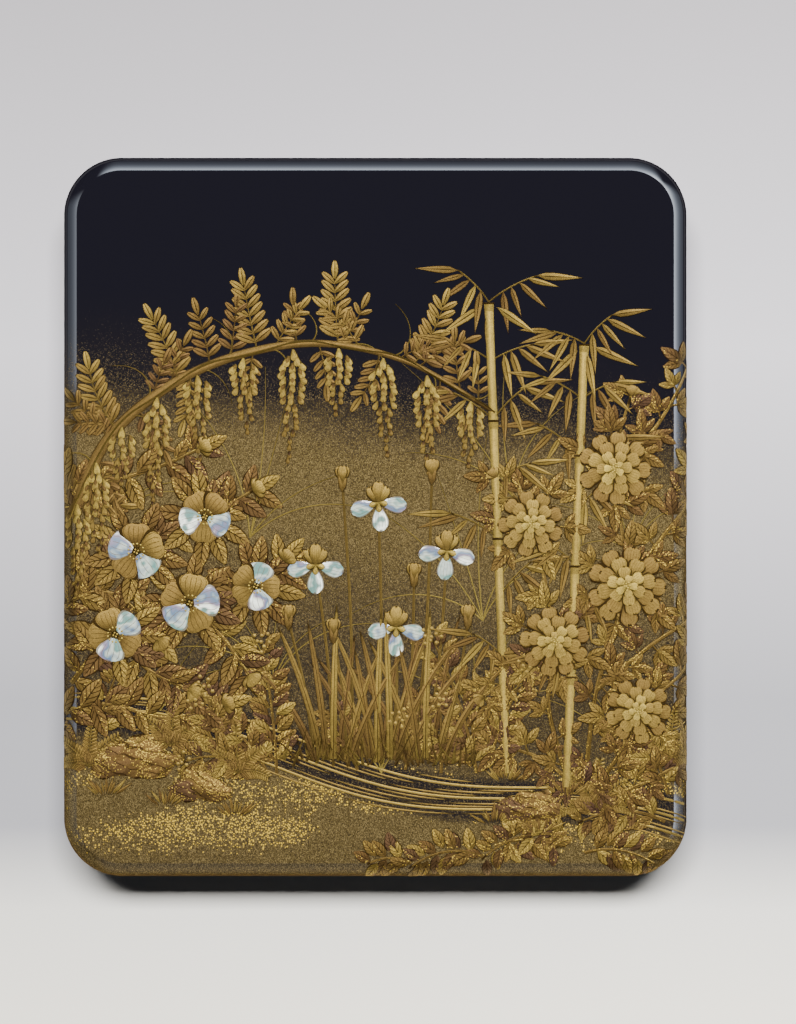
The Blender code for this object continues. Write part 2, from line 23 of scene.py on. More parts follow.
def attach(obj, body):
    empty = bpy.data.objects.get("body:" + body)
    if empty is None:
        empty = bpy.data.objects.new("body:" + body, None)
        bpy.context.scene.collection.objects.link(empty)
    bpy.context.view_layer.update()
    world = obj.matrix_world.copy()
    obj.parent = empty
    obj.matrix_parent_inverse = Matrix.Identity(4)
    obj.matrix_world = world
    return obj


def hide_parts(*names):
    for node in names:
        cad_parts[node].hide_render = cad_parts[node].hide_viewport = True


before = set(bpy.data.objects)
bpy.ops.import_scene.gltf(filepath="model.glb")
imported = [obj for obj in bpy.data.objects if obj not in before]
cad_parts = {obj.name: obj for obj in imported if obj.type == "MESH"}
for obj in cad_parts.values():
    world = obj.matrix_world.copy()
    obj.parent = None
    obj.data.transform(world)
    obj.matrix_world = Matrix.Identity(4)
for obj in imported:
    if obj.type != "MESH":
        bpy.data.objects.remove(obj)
log = logging.getLogger("writing_box")

Colour = tuple[float, float, float]
Stops = tuple[tuple[float, Colour], ...]
Size = tuple[float, float]
Path = tuple[Size, ...]
Flowers = tuple[tuple[float, float, float], ...]
Curve = Callable[[float], Vector]
Width = Callable[[float], float]
Number = float | np.ndarray
Bm = bmesh.types.BMesh
Face = bmesh.types.BMFace
Form = bpy.types.Mesh
Piece = bpy.types.Object
Tree = bpy.types.NodeTree
Node = bpy.types.Node
Socket = bpy.types.NodeSocket
Value = float | Socket
Feeds = Sequence[object] | dict[str | int, object]
Material = bpy.types.Material

ENGRAVING = ("Veins", "Slant", "Rays", "Width", "Midrib", "Border")
GOLD_TINT: Colour = (0.55, 0.40, 0.16)
LACQUER_IOR = 1.45
GOLDEN_ANGLE = 137.5


@dataclass(frozen=True)
class BoxSizes:
    """The sizes that the lid, the tray and the picture share, in metres."""

    half_width: float = 0.1075
    half_length: float = 0.1240
    corner: float = 0.0200
    panel_z: float = 0.0480
    rim_width: float = 0.0046
    rim_drop: float = 0.0040
    rim_sweep: float = math.radians(62)
    lid_wall: float = 0.0050
    lid_plate: float = 0.0045
    seat_z: float = 0.0103
    plinth: float = 0.0100
    tray_floor: float = 0.0050
    tray_wall: float = 0.0040
    tray_rim_z: float = 0.0360
    clearance: float = 0.0006

    @property
    def panel_half(self) -> Size:
        """Half the flat panel's width and half its length."""
        return self.half_width - self.rim_width, self.half_length - self.rim_width

    def rim(self, angle: Number) -> tuple[Number, Number]:
        """How far in and how high the rim's section is, at an angle up from its foot."""
        inward = self.rim_width * (1 - np.cos(angle)) / (1 - math.cos(self.rim_sweep))
        return inward, self.panel_z - self.rim_drop * (1 - np.sin(angle) / math.sin(self.rim_sweep))


BOX = BoxSizes()


def spot(share_x: float, share_y: float) -> Vector:
    """A place on the plan from shares of the panel's half width and half length."""
    half_width, half_length = BOX.panel_half
    return Vector((share_x * half_width, share_y * half_length, 0.0))


def turned(place: Vector, degrees: float, out: float = 0.0) -> Matrix:
    """A frame at a place on the plan, turned about Z and then moved out along its X."""
    turn = Matrix.Rotation(math.radians(degrees), 4, "Z")
    return Matrix.Translation(place) @ turn @ Matrix.Translation((out, 0, 0))


def smooth_curve(points: Path) -> Curve:
    """A smooth curve through places on the plan.

    Args:
        points: Shares of the panel's half width and half length.

    Returns:
        A function from 0..1 to a point on the curve, in metres.
    """
    places = [spot(*point) for point in points]
    spans = len(places) - 1

    def at(t: float) -> Vector:
        """The point at a share of the curve."""
        i = min(int(max(t, 0.0) * spans), spans - 1)
        u = t * spans - i
        a, b, c, d = (places[min(max(k, 0), spans)] for k in (i - 1, i, i + 1, i + 2))
        square, cube = 2 * a - 5 * b + 4 * c - d, 3 * b - a - 3 * c + d
        return 0.5 * (2 * b + (c - a) * u + square * u**2 + cube * u**3)

    return at


def arc(root: Vector, heading: float, length: float, bend: float) -> Curve:
    """A bent line from a root.

    Args:
        root: Where it starts.
        heading: The direction that it starts in, in degrees.
        length: How long it is.
        bend: How far it turns on its way, in degrees.

    Returns:
        A function from 0..1 to a point on the line.
    """

    def at(t: float) -> Vector:
        """The point at a share of the line."""
        middle = math.radians(heading + bend * t / 2)
        return root + Vector((math.cos(middle), math.sin(middle), 0)) * length * t

    return at


def straight(start: Vector, end: Vector) -> Curve:
    """A straight line between two points."""
    return lambda t: start + (end - start) * t


def heading_at(line: Curve, t: float) -> float:
    """The direction of a line at a share of its length, in degrees."""
    ahead = line(min(t + 0.02, 1.0)) - line(max(t - 0.02, 0.0))
    return math.degrees(math.atan2(ahead.y, ahead.x))


def taper(width: float, loss: float = 0.0) -> Width:
    """A width that loses a share of itself from root to tip."""
    return lambda t: width * (1 - loss * t)


class LidSurface:
    """The lid's outside as one sheet: the flat panel, the rounded rim and the upright side."""

    STEPS = 48
    SIDE_FLATTENING = 0.35

    def __init__(self, sizes: BoxSizes) -> None:
        """Tabulates the rim's section from the arris outwards."""
        self.sizes = sizes
        inset, height = sizes.rim(np.linspace(sizes.rim_sweep, 0.0, self.STEPS))
        out = sizes.rim_width - inset
        self.run = np.concatenate(([0.0], np.cumsum(np.hypot(np.diff(out), np.diff(height)))))
        slope_out, slope_up = np.gradient(out, self.run), np.gradient(height, self.run)
        size = np.hypot(slope_out, slope_up)
        self.section = out, height, -slope_up / size, slope_out / size

    def lay(self, points: np.ndarray) -> np.ndarray:
        """Lays plan points on the lid.

        Args:
            points: Rows of plan x, plan y and height over the sheet.

        Returns:
            Rows of x, y and z on the lid.
        """
        plan, radius = points[:, :2], self.sizes.corner - self.sizes.rim_width
        outward = np.maximum(np.abs(plan) - (np.array(self.sizes.panel_half) - radius), 0.0)
        reach = np.hypot(outward[:, 0], outward[:, 1])
        run = np.where(reach > 0, reach - radius, -1.0)
        direction = np.sign(plan) * outward / np.maximum(reach, 1e-9)[:, None]
        over, rim_end = np.clip(run, 0.0, None), self.run[-1]
        out, height, lean_out, lean_up = (np.interp(over, self.run, row) for row in self.section)
        height = height - np.clip(over - rim_end, 0.0, None)
        flattening = (1 - self.SIDE_FLATTENING) * np.minimum(over / rim_end, 1)
        rise = points[:, 2] * np.where(run > 0, 1 - flattening, 1.0)
        side = plan - direction * over[:, None] + direction * (out + rise * lean_out)[:, None]
        wrapped = np.column_stack((side, height + rise * lean_up))
        flat = np.column_stack((plan, self.sizes.panel_z + points[:, 2]))
        return np.where((run > 0)[:, None], wrapped, flat)


SURFACE = LidSurface(BOX)


class Wires:
    """Adds nodes to one node tree and joins them."""

    def __init__(self, tree: Tree) -> None:
        """Works on the given tree."""
        self.tree = tree

    def add(self, kind: str, inputs: Feeds = (), **settings: object) -> Node:
        """Adds a node.

        Args:
            kind: Its kind, without the leading ShaderNode.
            inputs: What feeds its inputs, in order, or by number or name.
            **settings: Its settings.

        Returns:
            The node.
        """
        node = self.tree.nodes.new(f"ShaderNode{kind}")
        for name, value in settings.items():
            setattr(node, name, value)
        return self.dress(node, inputs if isinstance(inputs, dict) else dict(enumerate(inputs)))

    def dress(self, node: Node, inputs: dict[str | int, object]) -> Node:
        """Feeds a node's inputs.

        Args:
            node: The node.
            inputs: A socket to link, or a fixed value, for an input's number or name.

        Returns:
            The node.
        """
        for key, value in inputs.items():
            socket = node.inputs[key]
            if isinstance(value, bpy.types.NodeSocket):
                self.tree.links.new(value, socket)
            else:
                socket.default_value = (*value, 1.0) if socket.type == "RGBA" else value
        return node

    def math(self, operation: str, first: Value, second: Value = 0.0, third: Value = 0.0) -> Socket:
        """The result of a sum on up to three values."""
        return self.add("Math", (first, second, third), operation=operation).outputs[0]

    def times(self, *values: Value) -> Socket:
        """The product of some values."""
        return reduce(partial(self.math, "MULTIPLY"), values)

    def plus(self, first: Value, second: Value) -> Socket:
        """The sum of two values."""
        return self.math("ADD", first, second)

    def minus(self, first: Value, second: Value) -> Socket:
        """The difference of two values."""
        return self.math("SUBTRACT", first, second)

    def apart(self, value: Value, middle: Value) -> Socket:
        """How far a value is from a middle one."""
        return self.math("ABSOLUTE", self.minus(value, middle))

    def most(self, first: Value, second: Value) -> Socket:
        """The larger of two values."""
        return self.math("MAXIMUM", first, second)

    def under(self, value: Value, limit: Value) -> Socket:
        """One where a value is under a limit, and nought elsewhere."""
        return self.math("LESS_THAN", value, limit)

    def remap(
        self, value: Value, low: float, high: float, to_low: float = 0.0, to_high: float = 1.0
    ) -> Socket:
        """A value moved smoothly from one range to another, and held at its ends."""
        inputs = (value, low, high, to_low, to_high)
        return self.add("MapRange", inputs, interpolation_type="SMOOTHSTEP").outputs[0]

    def mix(self, share: Value, first: Colour | Socket, second: Colour | Socket) -> Socket:
        """A colour between two."""
        return self.add("Mix", {0: share, 6: first, 7: second}, data_type="RGBA").outputs[2]

    def blend(self, share: Value, first: Value, second: Value) -> Socket:
        """A number between two."""
        return self.add("Mix", {0: share, 2: first, 3: second}, data_type="FLOAT").outputs[0]

    def scaled(self, colour: Socket, factor: Value) -> Socket:
        """A colour made brighter or darker."""
        return self.add("VectorMath", {0: colour, "Scale": factor}, operation="SCALE").outputs[0]

    def ramp(self, value: Socket, stops: Stops) -> Socket:
        """Reads a colour off a ramp.

        Args:
            value: Where on the ramp, from 0 to 1.
            stops: The ramp's places and their colours.

        Returns:
            The colour.
        """
        node = self.add("ValToRGB", (value,))
        points = node.color_ramp.elements
        while len(points) < len(stops):
            points.new(0.5)
        for point, (place, colour) in zip(points, stops):
            point.position = place
            point.color = (*colour, 1.0)
        return node.outputs[0]

    def noise(self, place: Socket, scale: float, detail: float = 2.0) -> Socket:
        """Soft noise from 0 to 1."""
        return self.add("TexNoise", {"Vector": place, "Scale": scale, "Detail": detail}).outputs["Fac"]

    def cells(self, place: Socket, fineness: Value) -> tuple[Socket, Socket, Socket]:
        """A cell pattern's two chance numbers for each cell, and the distance from the cell's middle."""
        node = self.add("TexVoronoi", {"Vector": place, "Scale": fineness})
        return *self.split(node.outputs["Color"])[:2], node.outputs["Distance"]

    def flakes(self, place: Socket, fineness: float, share: Value, radius: float) -> Socket:
        """A mask of round flakes in a share of a pattern's cells."""
        draw, _, distance = self.cells(place, fineness)
        return self.times(self.under(draw, share), self.under(distance, radius))

    def split(self, vector: Socket) -> list[Socket]:
        """A vector's X, Y and Z."""
        return list(self.add("SeparateXYZ", (vector,)).outputs)

    def place(self) -> Socket:
        """The point's place on the object."""
        return self.add("TexCoord").outputs["Object"]

    def map(self) -> Socket:
        """The point's place on the piece's own map: along a form, and across it."""
        return self.add("UVMap", uv_map="UVMap").outputs[0]

    def tone(self) -> Socket:
        """The tone of the form that the point is on."""
        return self.add("Attribute", attribute_name="tone").outputs["Fac"]

    def group(self, tree: Tree, **values: object) -> Sequence[Socket]:
        """Places a node group, feeds its inputs by name and gives its outputs."""
        return self.add("Group", values, node_tree=tree).outputs


def new_group(
    name: str, vector: str, numbers: Sequence[str], results: Sequence[str]
) -> tuple[Wires, list[Socket], Node]:
    """An empty shader node group, from a vector and numbers to numbers.

    Args:
        name: The group's name.
        vector: The name of its vector input.
        numbers: The names of its number inputs.
        results: The names of its outputs.

    Returns:
        The group's wires, what its inputs bring, and its output node.
    """
    tree = bpy.data.node_groups.new(name, "ShaderNodeTree")
    tree.interface.new_socket(vector, in_out="INPUT", socket_type="NodeSocketVector")
    for direction, labels in (("INPUT", numbers), ("OUTPUT", results)):
        for label in labels:
            tree.interface.new_socket(label, in_out=direction, socket_type="NodeSocketFloat")
    given = tree.nodes.new("NodeGroupInput").outputs[: 1 + len(numbers)]
    return Wires(tree), given, tree.nodes.new("NodeGroupOutput")


class Effects:
    """Effects that several finishes share, each a node group."""

    def __init__(self) -> None:
        """Builds each group once."""
        self.dust = self._sprinkled_dust()
        self.veins = self._veins_and_edge()
        self.powder = self._burnished_powder()

    def _sprinkled_dust(self) -> Tree:
        """Grains of metal dust: Density is the share covered. Gives a Mask and each grain's Shade."""
        wires, (place, density, fineness), result = new_group(
            "sprinkled_dust", "Place", ("Density", "Fineness"), ("Mask", "Shade")
        )
        draw, shade, distance = wires.cells(place, fineness)
        covered = wires.remap(wires.minus(wires.times(density, 1.3), draw), 0.0, 0.34)
        round_grain = wires.most(wires.remap(distance, 0.75, 0.50), wires.remap(density, 0.45, 0.85))
        wires.dress(result, {"Mask": wires.times(covered, round_grain), "Shade": shade})
        return wires.tree

    def _veins_and_edge(self) -> Tree:
        """Engraved lines on a leaf or petal from its own map: a midrib, side veins and a dark outline."""
        wires, (place, veins, slant, rays, width, midrib, border), result = new_group(
            "veins_and_edge", "Map", ENGRAVING, ("Line", "Edge")
        )
        along, across, _ = wires.split(place)
        off = wires.apart(across, 0.5)
        beats = wires.times(wires.minus(along, wires.times(off, slant)), veins)
        beats = wires.plus(beats, wires.times(across, rays))
        side = wires.under(wires.math("FRACT", beats), width)
        inner = wires.under(wires.apart(along, 0.44), 0.34)
        line = wires.most(wires.under(off, midrib), wires.times(side, inner))
        edge = wires.most(wires.math("GREATER_THAN", off, border), wires.math("GREATER_THAN", along, 0.94))
        wires.dress(result, {"Line": line, "Edge": edge})
        return wires.tree

    def _burnished_powder(self) -> Tree:
        """The unevenness of burnished metal powder: a Shade about 1 and a Height."""
        wires, (place, fineness), result = new_group(
            "burnished_powder", "Place", ("Fineness",), ("Shade", "Height")
        )
        draw, _, _ = wires.cells(place, fineness)
        grain = wires.blend(0.45, draw, wires.noise(place, 420.0))
        wires.dress(result, {"Shade": wires.remap(grain, 0.15, 0.85, 0.72, 1.22), "Height": draw})
        return wires.tree


EFFECTS = Effects()


def new_material(name: str) -> tuple[Material, Wires, Node]:
    """A new material.

    Args:
        name: Its name.

    Returns:
        The material, its wires and its shader.
    """
    material = bpy.data.materials.new(name)
    material.use_nodes = True
    return material, Wires(material.node_tree), material.node_tree.nodes["Principled BSDF"]


@dataclass(frozen=True)
class RaisedGold:
    """Gold powder on a raised form, with engraved lines, a dark outline and, on some, strewn flakes; painted
    shade darkens each form towards its root, and painted light brightens it on the rim.
    """

    name: str
    veins: float = 0.0
    slant: float = 0.0
    rays: float = 0.0
    width: float = 0.0
    midrib: float = 0.0
    border: float = 0.42
    two_tone: float = 0.0
    flakes: float = 0.0
    bare_half: float = 0.0
    # Painted shade: how dark each form is painted at its root, brightening towards its tip.
    root_painted_shade: float = 0.62
    roughness: float = 0.56
    line_depth: float = 0.80
    edge_depth: float = 0.80
    powder_fineness: float = 4200.0
    flake_fineness: float = 2100.0
    line_colour: Colour = (0.008, 0.004, 0.0015)
    flake_colour: Colour = (0.20, 0.135, 0.024)
    rim_top: Size = (0.0447, 0.0482)
    rim_foot: Size = (0.0400, 0.0440)
    # Painted light on the rim: the gold there is painted brighter and mixed towards a pale painted sheen.
    rim_painted_light: float = 3.6
    rim_painted_sheen: Colour = (0.30, 0.26, 0.15)
    painted_sheen_share: float = 0.36
    stops: Stops = (
        (0.00, (0.032, 0.0170, 0.0105)),
        (0.30, (0.050, 0.0288, 0.0092)),
        (0.58, (0.070, 0.0440, 0.0114)),
        (0.82, (0.106, 0.0712, 0.0162)),
        (1.00, (0.160, 0.1130, 0.0235)),
    )

    def material(self) -> Material:
        """Makes the material."""
        material, wires, shader = new_material(self.name)
        place, uv = wires.place(), wires.map()
        along, across, _ = wires.split(uv)
        z = wires.split(place)[2]
        grain, dents = wires.group(EFFECTS.powder, Place=place, Fineness=self.powder_fineness)
        half = wires.remap(across, 0.46, 0.54, 1 - self.two_tone, 1 + self.two_tone)
        below_top, above_foot = wires.remap(z, *self.rim_top, 1.0, 0.0), wires.remap(z, *self.rim_foot)
        on_rim = wires.math("MINIMUM", below_top, above_foot)
        # Painted shade: each form is painted darker towards its root.
        painted_root_shade = wires.remap(along, 0.0, 0.6, self.root_painted_shade, 1.05)
        # Painted shade and light together: darker towards the root, brighter on the rim.
        depth = wires.times(painted_root_shade, wires.blend(on_rim, 1.0, self.rim_painted_light))
        body = wires.scaled(wires.ramp(wires.tone(), self.stops), wires.times(grain, half, depth))
        # Painted sheen on the rim.
        painted_sheen = wires.mix(wires.times(on_rim, self.painted_sheen_share), body, self.rim_painted_sheen)
        colour = wires.mix(self._flakes(wires, place, across), painted_sheen, self.flake_colour)
        engraving = {label: getattr(self, label.lower()) for label in ENGRAVING}
        cut, edge = wires.group(EFFECTS.veins, Map=uv, **engraving)
        line = wires.times(cut, self.line_depth)
        dark = wires.most(line, wires.times(edge, self.edge_depth))
        height = wires.minus(wires.times(dents, 0.25), line)
        bump = wires.add("Bump", {"Strength": 0.35, "Distance": 0.00006, "Height": height})
        inputs = {
            "Base Color": wires.mix(dark, colour, self.line_colour),
            "Metallic": wires.remap(dark, 0.0, 1.0, 0.9, 0.4),
            "Roughness": wires.remap(dark, 0.0, 1.0, self.roughness, self.roughness + 0.2),
            "Normal": bump.outputs[0],
            "Specular IOR Level": 0.0,
            "Specular Tint": GOLD_TINT,
        }
        wires.dress(shader, inputs)
        return material

    def _flakes(self, wires: Wires, place: Socket, across: Socket) -> Socket:
        """A mask of bright flakes, strewn in patches and, on a leaf, over one half.

        Args:
            wires: The material's wires.
            place: The point's place on the object.
            across: The point's share across its form.

        Returns:
            The mask.
        """
        patch = wires.remap(wires.noise(place, 60.0), 0.44, 0.58, 0.15, 1.0)
        side = wires.remap(across, 0.47, 0.53, 1 - self.bare_half, 1.0)
        return wires.flakes(place, self.flake_fineness, wires.times(patch, side, self.flakes), 0.45)


@dataclass(frozen=True)
class MotherOfPearl:
    """Polished shell with drifting rose, green and blue, in streaks along each petal."""

    name: str = "polished_shell"
    across: float = 0.34
    waves: float = 1.5
    spread: float = 2.0
    rays: float = 5.0
    edge_depth: float = 0.85
    edge_colour: Colour = (0.07, 0.042, 0.010)
    stops: Stops = (
        (0.00, (0.42, 0.47, 0.38)),
        (0.13, (0.055, 0.165, 0.135)),
        (0.26, (0.12, 0.21, 0.17)),
        (0.40, (0.95, 0.98, 0.84)),
        (0.54, (0.60, 0.62, 0.52)),
        (0.66, (0.17, 0.125, 0.19)),
        (0.82, (0.050, 0.105, 0.175)),
        (1.00, (0.42, 0.47, 0.38)),
    )

    def material(self) -> Material:
        """Makes the material."""
        material, wires, shader = new_material(self.name)
        uv, tone = wires.map(), wires.tone()
        across = wires.times(wires.split(uv)[1], self.across)
        streak = wires.plus(across, wires.times(wires.noise(wires.place(), 150.0), self.waves))
        drift = wires.math("FRACT", wires.plus(streak, wires.times(tone, self.spread)))
        line, rim = wires.group(EFFECTS.veins, Map=uv, Rays=self.rays, Width=0.10, Border=0.43)
        edge = wires.times(wires.most(rim, line), self.edge_depth)
        inputs = {
            "Base Color": wires.mix(edge, wires.ramp(drift, self.stops), self.edge_colour),
            "Roughness": wires.remap(tone, 0.5, 0.95, 0.50, 0.34),
            "Specular IOR Level": 0.25,
            "Coat Weight": 0.30,
            "Coat Roughness": 0.05,
        }
        wires.dress(shader, inputs)
        return material


@dataclass(frozen=True)
class GardenLacquer:
    """The lid's outside: polished black, with gold dust over the garden and flakes on its ground, and painted
    light that brightens the dust on the rim.
    """

    name: str = "black_lacquer_with_gold_mist"
    fineness: float = 4400.0
    flake_fineness: float = 1450.0
    # Painted light: how much brighter the gold dust is painted on the rim.
    rim_painted_light: float = 1.9
    # The lacquer's near-black, partly a painted reflection: its blue tint stands in for the bluish studio
    # seen in the polish.
    black: Colour = (0.0062, 0.0058, 0.0094)
    haze: Colour = (0.030, 0.0215, 0.0085)
    haze_share: float = 0.6
    flake_colour: Colour = (0.22, 0.145, 0.020)
    grains: Stops = (
        (0.0, (0.012, 0.0080, 0.0033)),
        (0.6, (0.035, 0.0246, 0.0092)),
        (1.0, (0.085, 0.0615, 0.0240)),
    )
    picture_front: float = 0.130
    picture_length: float = 0.200
    fade: Path = (
        (0.00, 0.80), (0.16, 0.92), (0.22, 0.70), (0.36, 0.55), (0.52, 0.72), (0.66, 0.92),
        (0.745, 0.84), (0.80, 0.58), (0.845, 0.28), (0.90, 0.12), (0.95, 0.05), (1.00, 0.020),
    )
    rim_foot_z: float = 0.0451
    stream_slope: Size = (-0.52, -0.34)
    stream_sway: float = 0.0050

    def material(self) -> Material:
        """Makes the material."""
        material, wires, shader = new_material(self.name)
        place = wires.place()
        x, y, z = wires.split(place)
        bank = self._bank(wires, x, y)
        thick = wires.times(self._density(wires, place), wires.blend(bank, 0.42, 1.0))
        mask, shade = wires.group(EFFECTS.dust, Place=place, Density=thick, Fineness=self.fineness)
        # Painted light: the dust on the rim is painted brighter.
        rim = wires.remap(z, 0.0470, 0.0480, self.rim_painted_light, 1.0)
        gold = wires.scaled(wires.ramp(shade, self.grains), rim)
        ground = wires.times(self._ground(wires, place), wires.math("GREATER_THAN", bank, 0.35))
        haze = wires.mix(wires.times(thick, self.haze_share), self.black, self.haze)
        metal = wires.most(mask, ground)
        foot = wires.remap(wires.apart(z, self.rim_foot_z), 0.0003, 0.0015, 0.05, 1.0)
        polish = wires.times(foot, wires.remap(z, 0.0430, 0.0444, 0.4, 1.0))
        cover = wires.most(metal, wires.remap(thick, 0.25, 0.70))
        inputs = {
            "Base Color": wires.mix(ground, wires.mix(mask, haze, gold), self.flake_colour),
            "Metallic": wires.times(metal, 0.7),
            "Roughness": wires.blend(metal, 0.30, 0.56),
            "Specular IOR Level": 0.0,
            "Specular Tint": GOLD_TINT,
            "Coat Weight": wires.times(polish, wires.blend(cover, 1.0, 0.16)),
            "Coat Roughness": 0.015,
            "Coat IOR": LACQUER_IOR,
        }
        wires.dress(shader, inputs)
        return material

    def _density(self, wires: Wires, place: Socket) -> Socket:
        """How dense the dust is: thick over the picture, fading into the black above and down the side.

        Args:
            wires: The material's wires.
            place: The point's place on the object.

        Returns:
            The density, from 0 to 1.
        """
        x, y, z = wires.split(place)
        warp = wires.times(wires.minus(wires.noise(place, 22.0, 3.0), 0.5), 0.016)
        level = wires.plus(wires.plus(y, wires.times(x, 0.10)), warp)
        share = wires.math("DIVIDE", wires.plus(level, self.picture_front), self.picture_length)
        density = wires.ramp(share, tuple((at, (level,) * 3) for at, level in self.fade))
        return wires.times(density, wires.remap(z, 0.014, 0.044, 0.04, 1.0))

    def _bank(self, wires: Wires, x: Socket, y: Socket) -> Socket:
        """From 0 over the dark water of the stream to 1 on its banks.

        Args:
            wires: The material's wires.
            x: The point's X.
            y: The point's Y.

        Returns:
            The share.
        """
        half_width, half_length = BOX.panel_half
        start, fall = self.stream_slope
        across = wires.math("MULTIPLY_ADD", x, 0.5 / half_width, 0.5)
        wave = wires.math("SINE", wires.times(across, 2 * math.pi * Stream.waves))
        sway = wires.times(wave, self.stream_sway)
        course = wires.math("MULTIPLY_ADD", across, fall * half_length, start * half_length - Stream.spacing)
        return wires.remap(wires.apart(wires.minus(y, course), sway), 0.0055, 0.0095)

    def _ground(self, wires: Wires, place: Socket) -> Socket:
        """A mask of larger gold flakes, strewn in drifts along the garden's ground.

        Args:
            wires: The material's wires.
            place: The point's place on the object.

        Returns:
            The mask.
        """
        _, y, z = wires.split(place)
        band = wires.times(wires.remap(y, -0.118, -0.106), wires.remap(y, -0.082, -0.096))
        stretched = wires.add("VectorMath", (place, (1.0, 3.0, 1.0)), operation="MULTIPLY").outputs[0]
        drifts = wires.remap(wires.noise(stretched, 26.0, 3.0), 0.42, 0.60, 0.0, 0.85)
        share = wires.times(band, drifts, wires.remap(z, 0.0440, 0.0476))
        return wires.flakes(place, self.flake_fineness, share, 0.42)


@dataclass(frozen=True)
class SprinkledLacquer:
    """Lacquer with gold sprinkled evenly in it, for the inside, and with next to none, for the tray."""

    name: str
    base: Colour
    dust: float
    fineness: float = 2600.0
    grains: Stops = ((0.0, (0.05, 0.026, 0.006)), (1.0, (0.14, 0.085, 0.018)))

    def material(self) -> Material:
        """Makes the material."""
        material, wires, shader = new_material(self.name)
        place = wires.place()
        density = wires.remap(wires.noise(place, 30.0), 0.2, 0.8, self.dust * 0.7, self.dust * 1.2)
        mask, shade = wires.group(EFFECTS.dust, Place=place, Density=density, Fineness=self.fineness)
        inputs = {
            "Base Color": wires.mix(mask, self.base, wires.ramp(shade, self.grains)),
            "Metallic": mask,
            "Roughness": wires.blend(mask, 0.30, 0.56),
            "Specular IOR Level": 0.0,
            "Coat Weight": 0.5,
            "Coat Roughness": 0.04,
            "Coat IOR": LACQUER_IOR,
        }
        wires.dress(shader, inputs)
        return material


def put(
    name: str, data: bpy.types.ID, place: Sequence[float] = (0, 0, 0), aim: Vector | None = None
) -> Piece:
    """Puts an object in the scene.

    Args:
        name: Its name.
        data: Its mesh, light or camera.
        place: Where it stands.
        aim: The point that it looks at, if any.

    Returns:
        The object.
    """
    item = bpy.data.objects.new(name, data)
    item.location = place
    if aim is not None:
        item.rotation_euler = (aim - item.location).to_track_quat("-Z", "Y").to_euler()
    bpy.context.scene.collection.objects.link(item)
    return item


def house_piece(
    name: str, mesh: Form, nodes: Sequence[str], materials: Sequence[Material], crease: float
) -> None:
    """Puts a finished mesh in the scene as a piece of the box.

    Args:
        name: The piece's name.
        mesh: Its mesh, in place.
        nodes: The CAD nodes that it stands for.
        materials: Its finishes.
        crease: The angle, in degrees, past which an edge stays sharp.
    """
    for material in materials:
        mesh.materials.append(material)
    mesh.shade_smooth()
    mesh.set_sharp_from_angle(angle=math.radians(crease))
    mesh.name = name
    piece = put(name, mesh)
    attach(piece, "root")
    if nodes:
        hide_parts(*nodes)
    mesh.calc_loop_triangles()
    log.info("%s: %d triangles", name, len(mesh.loop_triangles))


def made_mesh(bm: Bm, name: str = "form") -> Form:
    """Turns a bmesh into a mesh, and frees it."""
    mesh = bpy.data.meshes.new(name)
    bm.to_mesh(mesh)
    bm.free()
    return mesh


def toned_mesh(bm: Bm) -> Form:
    """Turns a form's bmesh into a mesh with a tone, and frees it."""
    mesh = made_mesh(bm)
    mesh.attributes.new("tone", "FLOAT", "POINT")
    return mesh


def paint_map(bm: Bm, faces: Iterable[Face], place: Callable[[Vector], Size]) -> None:
    """Sets the map of some faces.

    Args:
        bm: Their bmesh.
        faces: The faces.
        place: Gives a corner's place on the map from its place in space.
    """
    uv = bm.loops.layers.uv.active
    for face in faces:
        for loop in face.loops:
            loop[uv].uv = place(loop.vert.co)


def mapped_bmesh() -> Bm:
    """An empty bmesh with a map."""
    bm = bmesh.new()
    bm.loops.layers.uv.new("UVMap")
    return bm


def low_form(columns: int, rows: int, point: Callable[[float, float], Vector], floor: float) -> Form:
    """A closed form in low relief: a sheet with an upright side down to a floor, and a bottom.

    Args:
        columns: How many faces it has along its length.
        rows: How many faces it has across.
        point: The place of a point of the sheet, from its shares along (0 to 1) and across (-1 to 1).
        floor: The height of the bottom.

    Returns:
        The form's mesh, with a map of its own and a tone.
    """
    bm = mapped_bmesh()
    bmesh.ops.create_grid(bm, x_segments=columns, y_segments=rows, size=0.5, calc_uvs=True)
    for vert in bm.verts:
        vert.co = point(vert.co.x + 0.5, 2 * vert.co.y)
    older = set(bm.faces)
    rim = [edge for edge in bm.edges if edge.is_boundary]
    for item in bmesh.ops.extrude_edge_only(bm, edges=rim)["geom"]:
        if isinstance(item, bmesh.types.BMVert):
            item.co.z = floor
    bmesh.ops.holes_fill(bm, edges=[edge for edge in bm.edges if edge.is_boundary], sides=0)
    bmesh.ops.recalc_face_normals(bm, faces=bm.faces)
    paint_map(bm, [face for face in bm.faces if face not in older], lambda place: (0.0, 0.0))
    return toned_mesh(bm)


class Outline(Enum):
    """How wide a grown form is from its root to its tip."""

    LEAF = "leaf"
    LEAFLET = "leaflet"
    PETAL = "petal"
    FAN = "fan"
    LANCE = "lance"

    def half_width(self, along: float) -> float:
        """The share of the half width at a share of the length.

        Args:
            along: The share of the length.

        Returns:
            The share of the half width.
        """
        if self is Outline.LEAF:
            return math.sin(math.pi * along**0.85) ** 0.8
        if self is Outline.LEAFLET:
            return math.sin(math.pi * (0.04 + 0.92 * along)) ** 0.6
        if self is Outline.PETAL:
            return (0.22 + 0.78 * math.sin(math.pi / 2 * min(along * 1.45, 1.0))) * self._blunt(along, 0.70)
        if self is Outline.FAN:
            return (0.24 + 0.76 * along**0.7) * self._blunt(along, 0.66)
        return math.sin(math.pi * along**0.6) ** 1.1

    @staticmethod
    def _blunt(along: float, start: float) -> float:
        """Rounds a form off from a share of its length to its tip."""
        over = max(along - start, 0.0) / (1 - start)
        return math.sqrt(max(1 - over * over, 0.0))


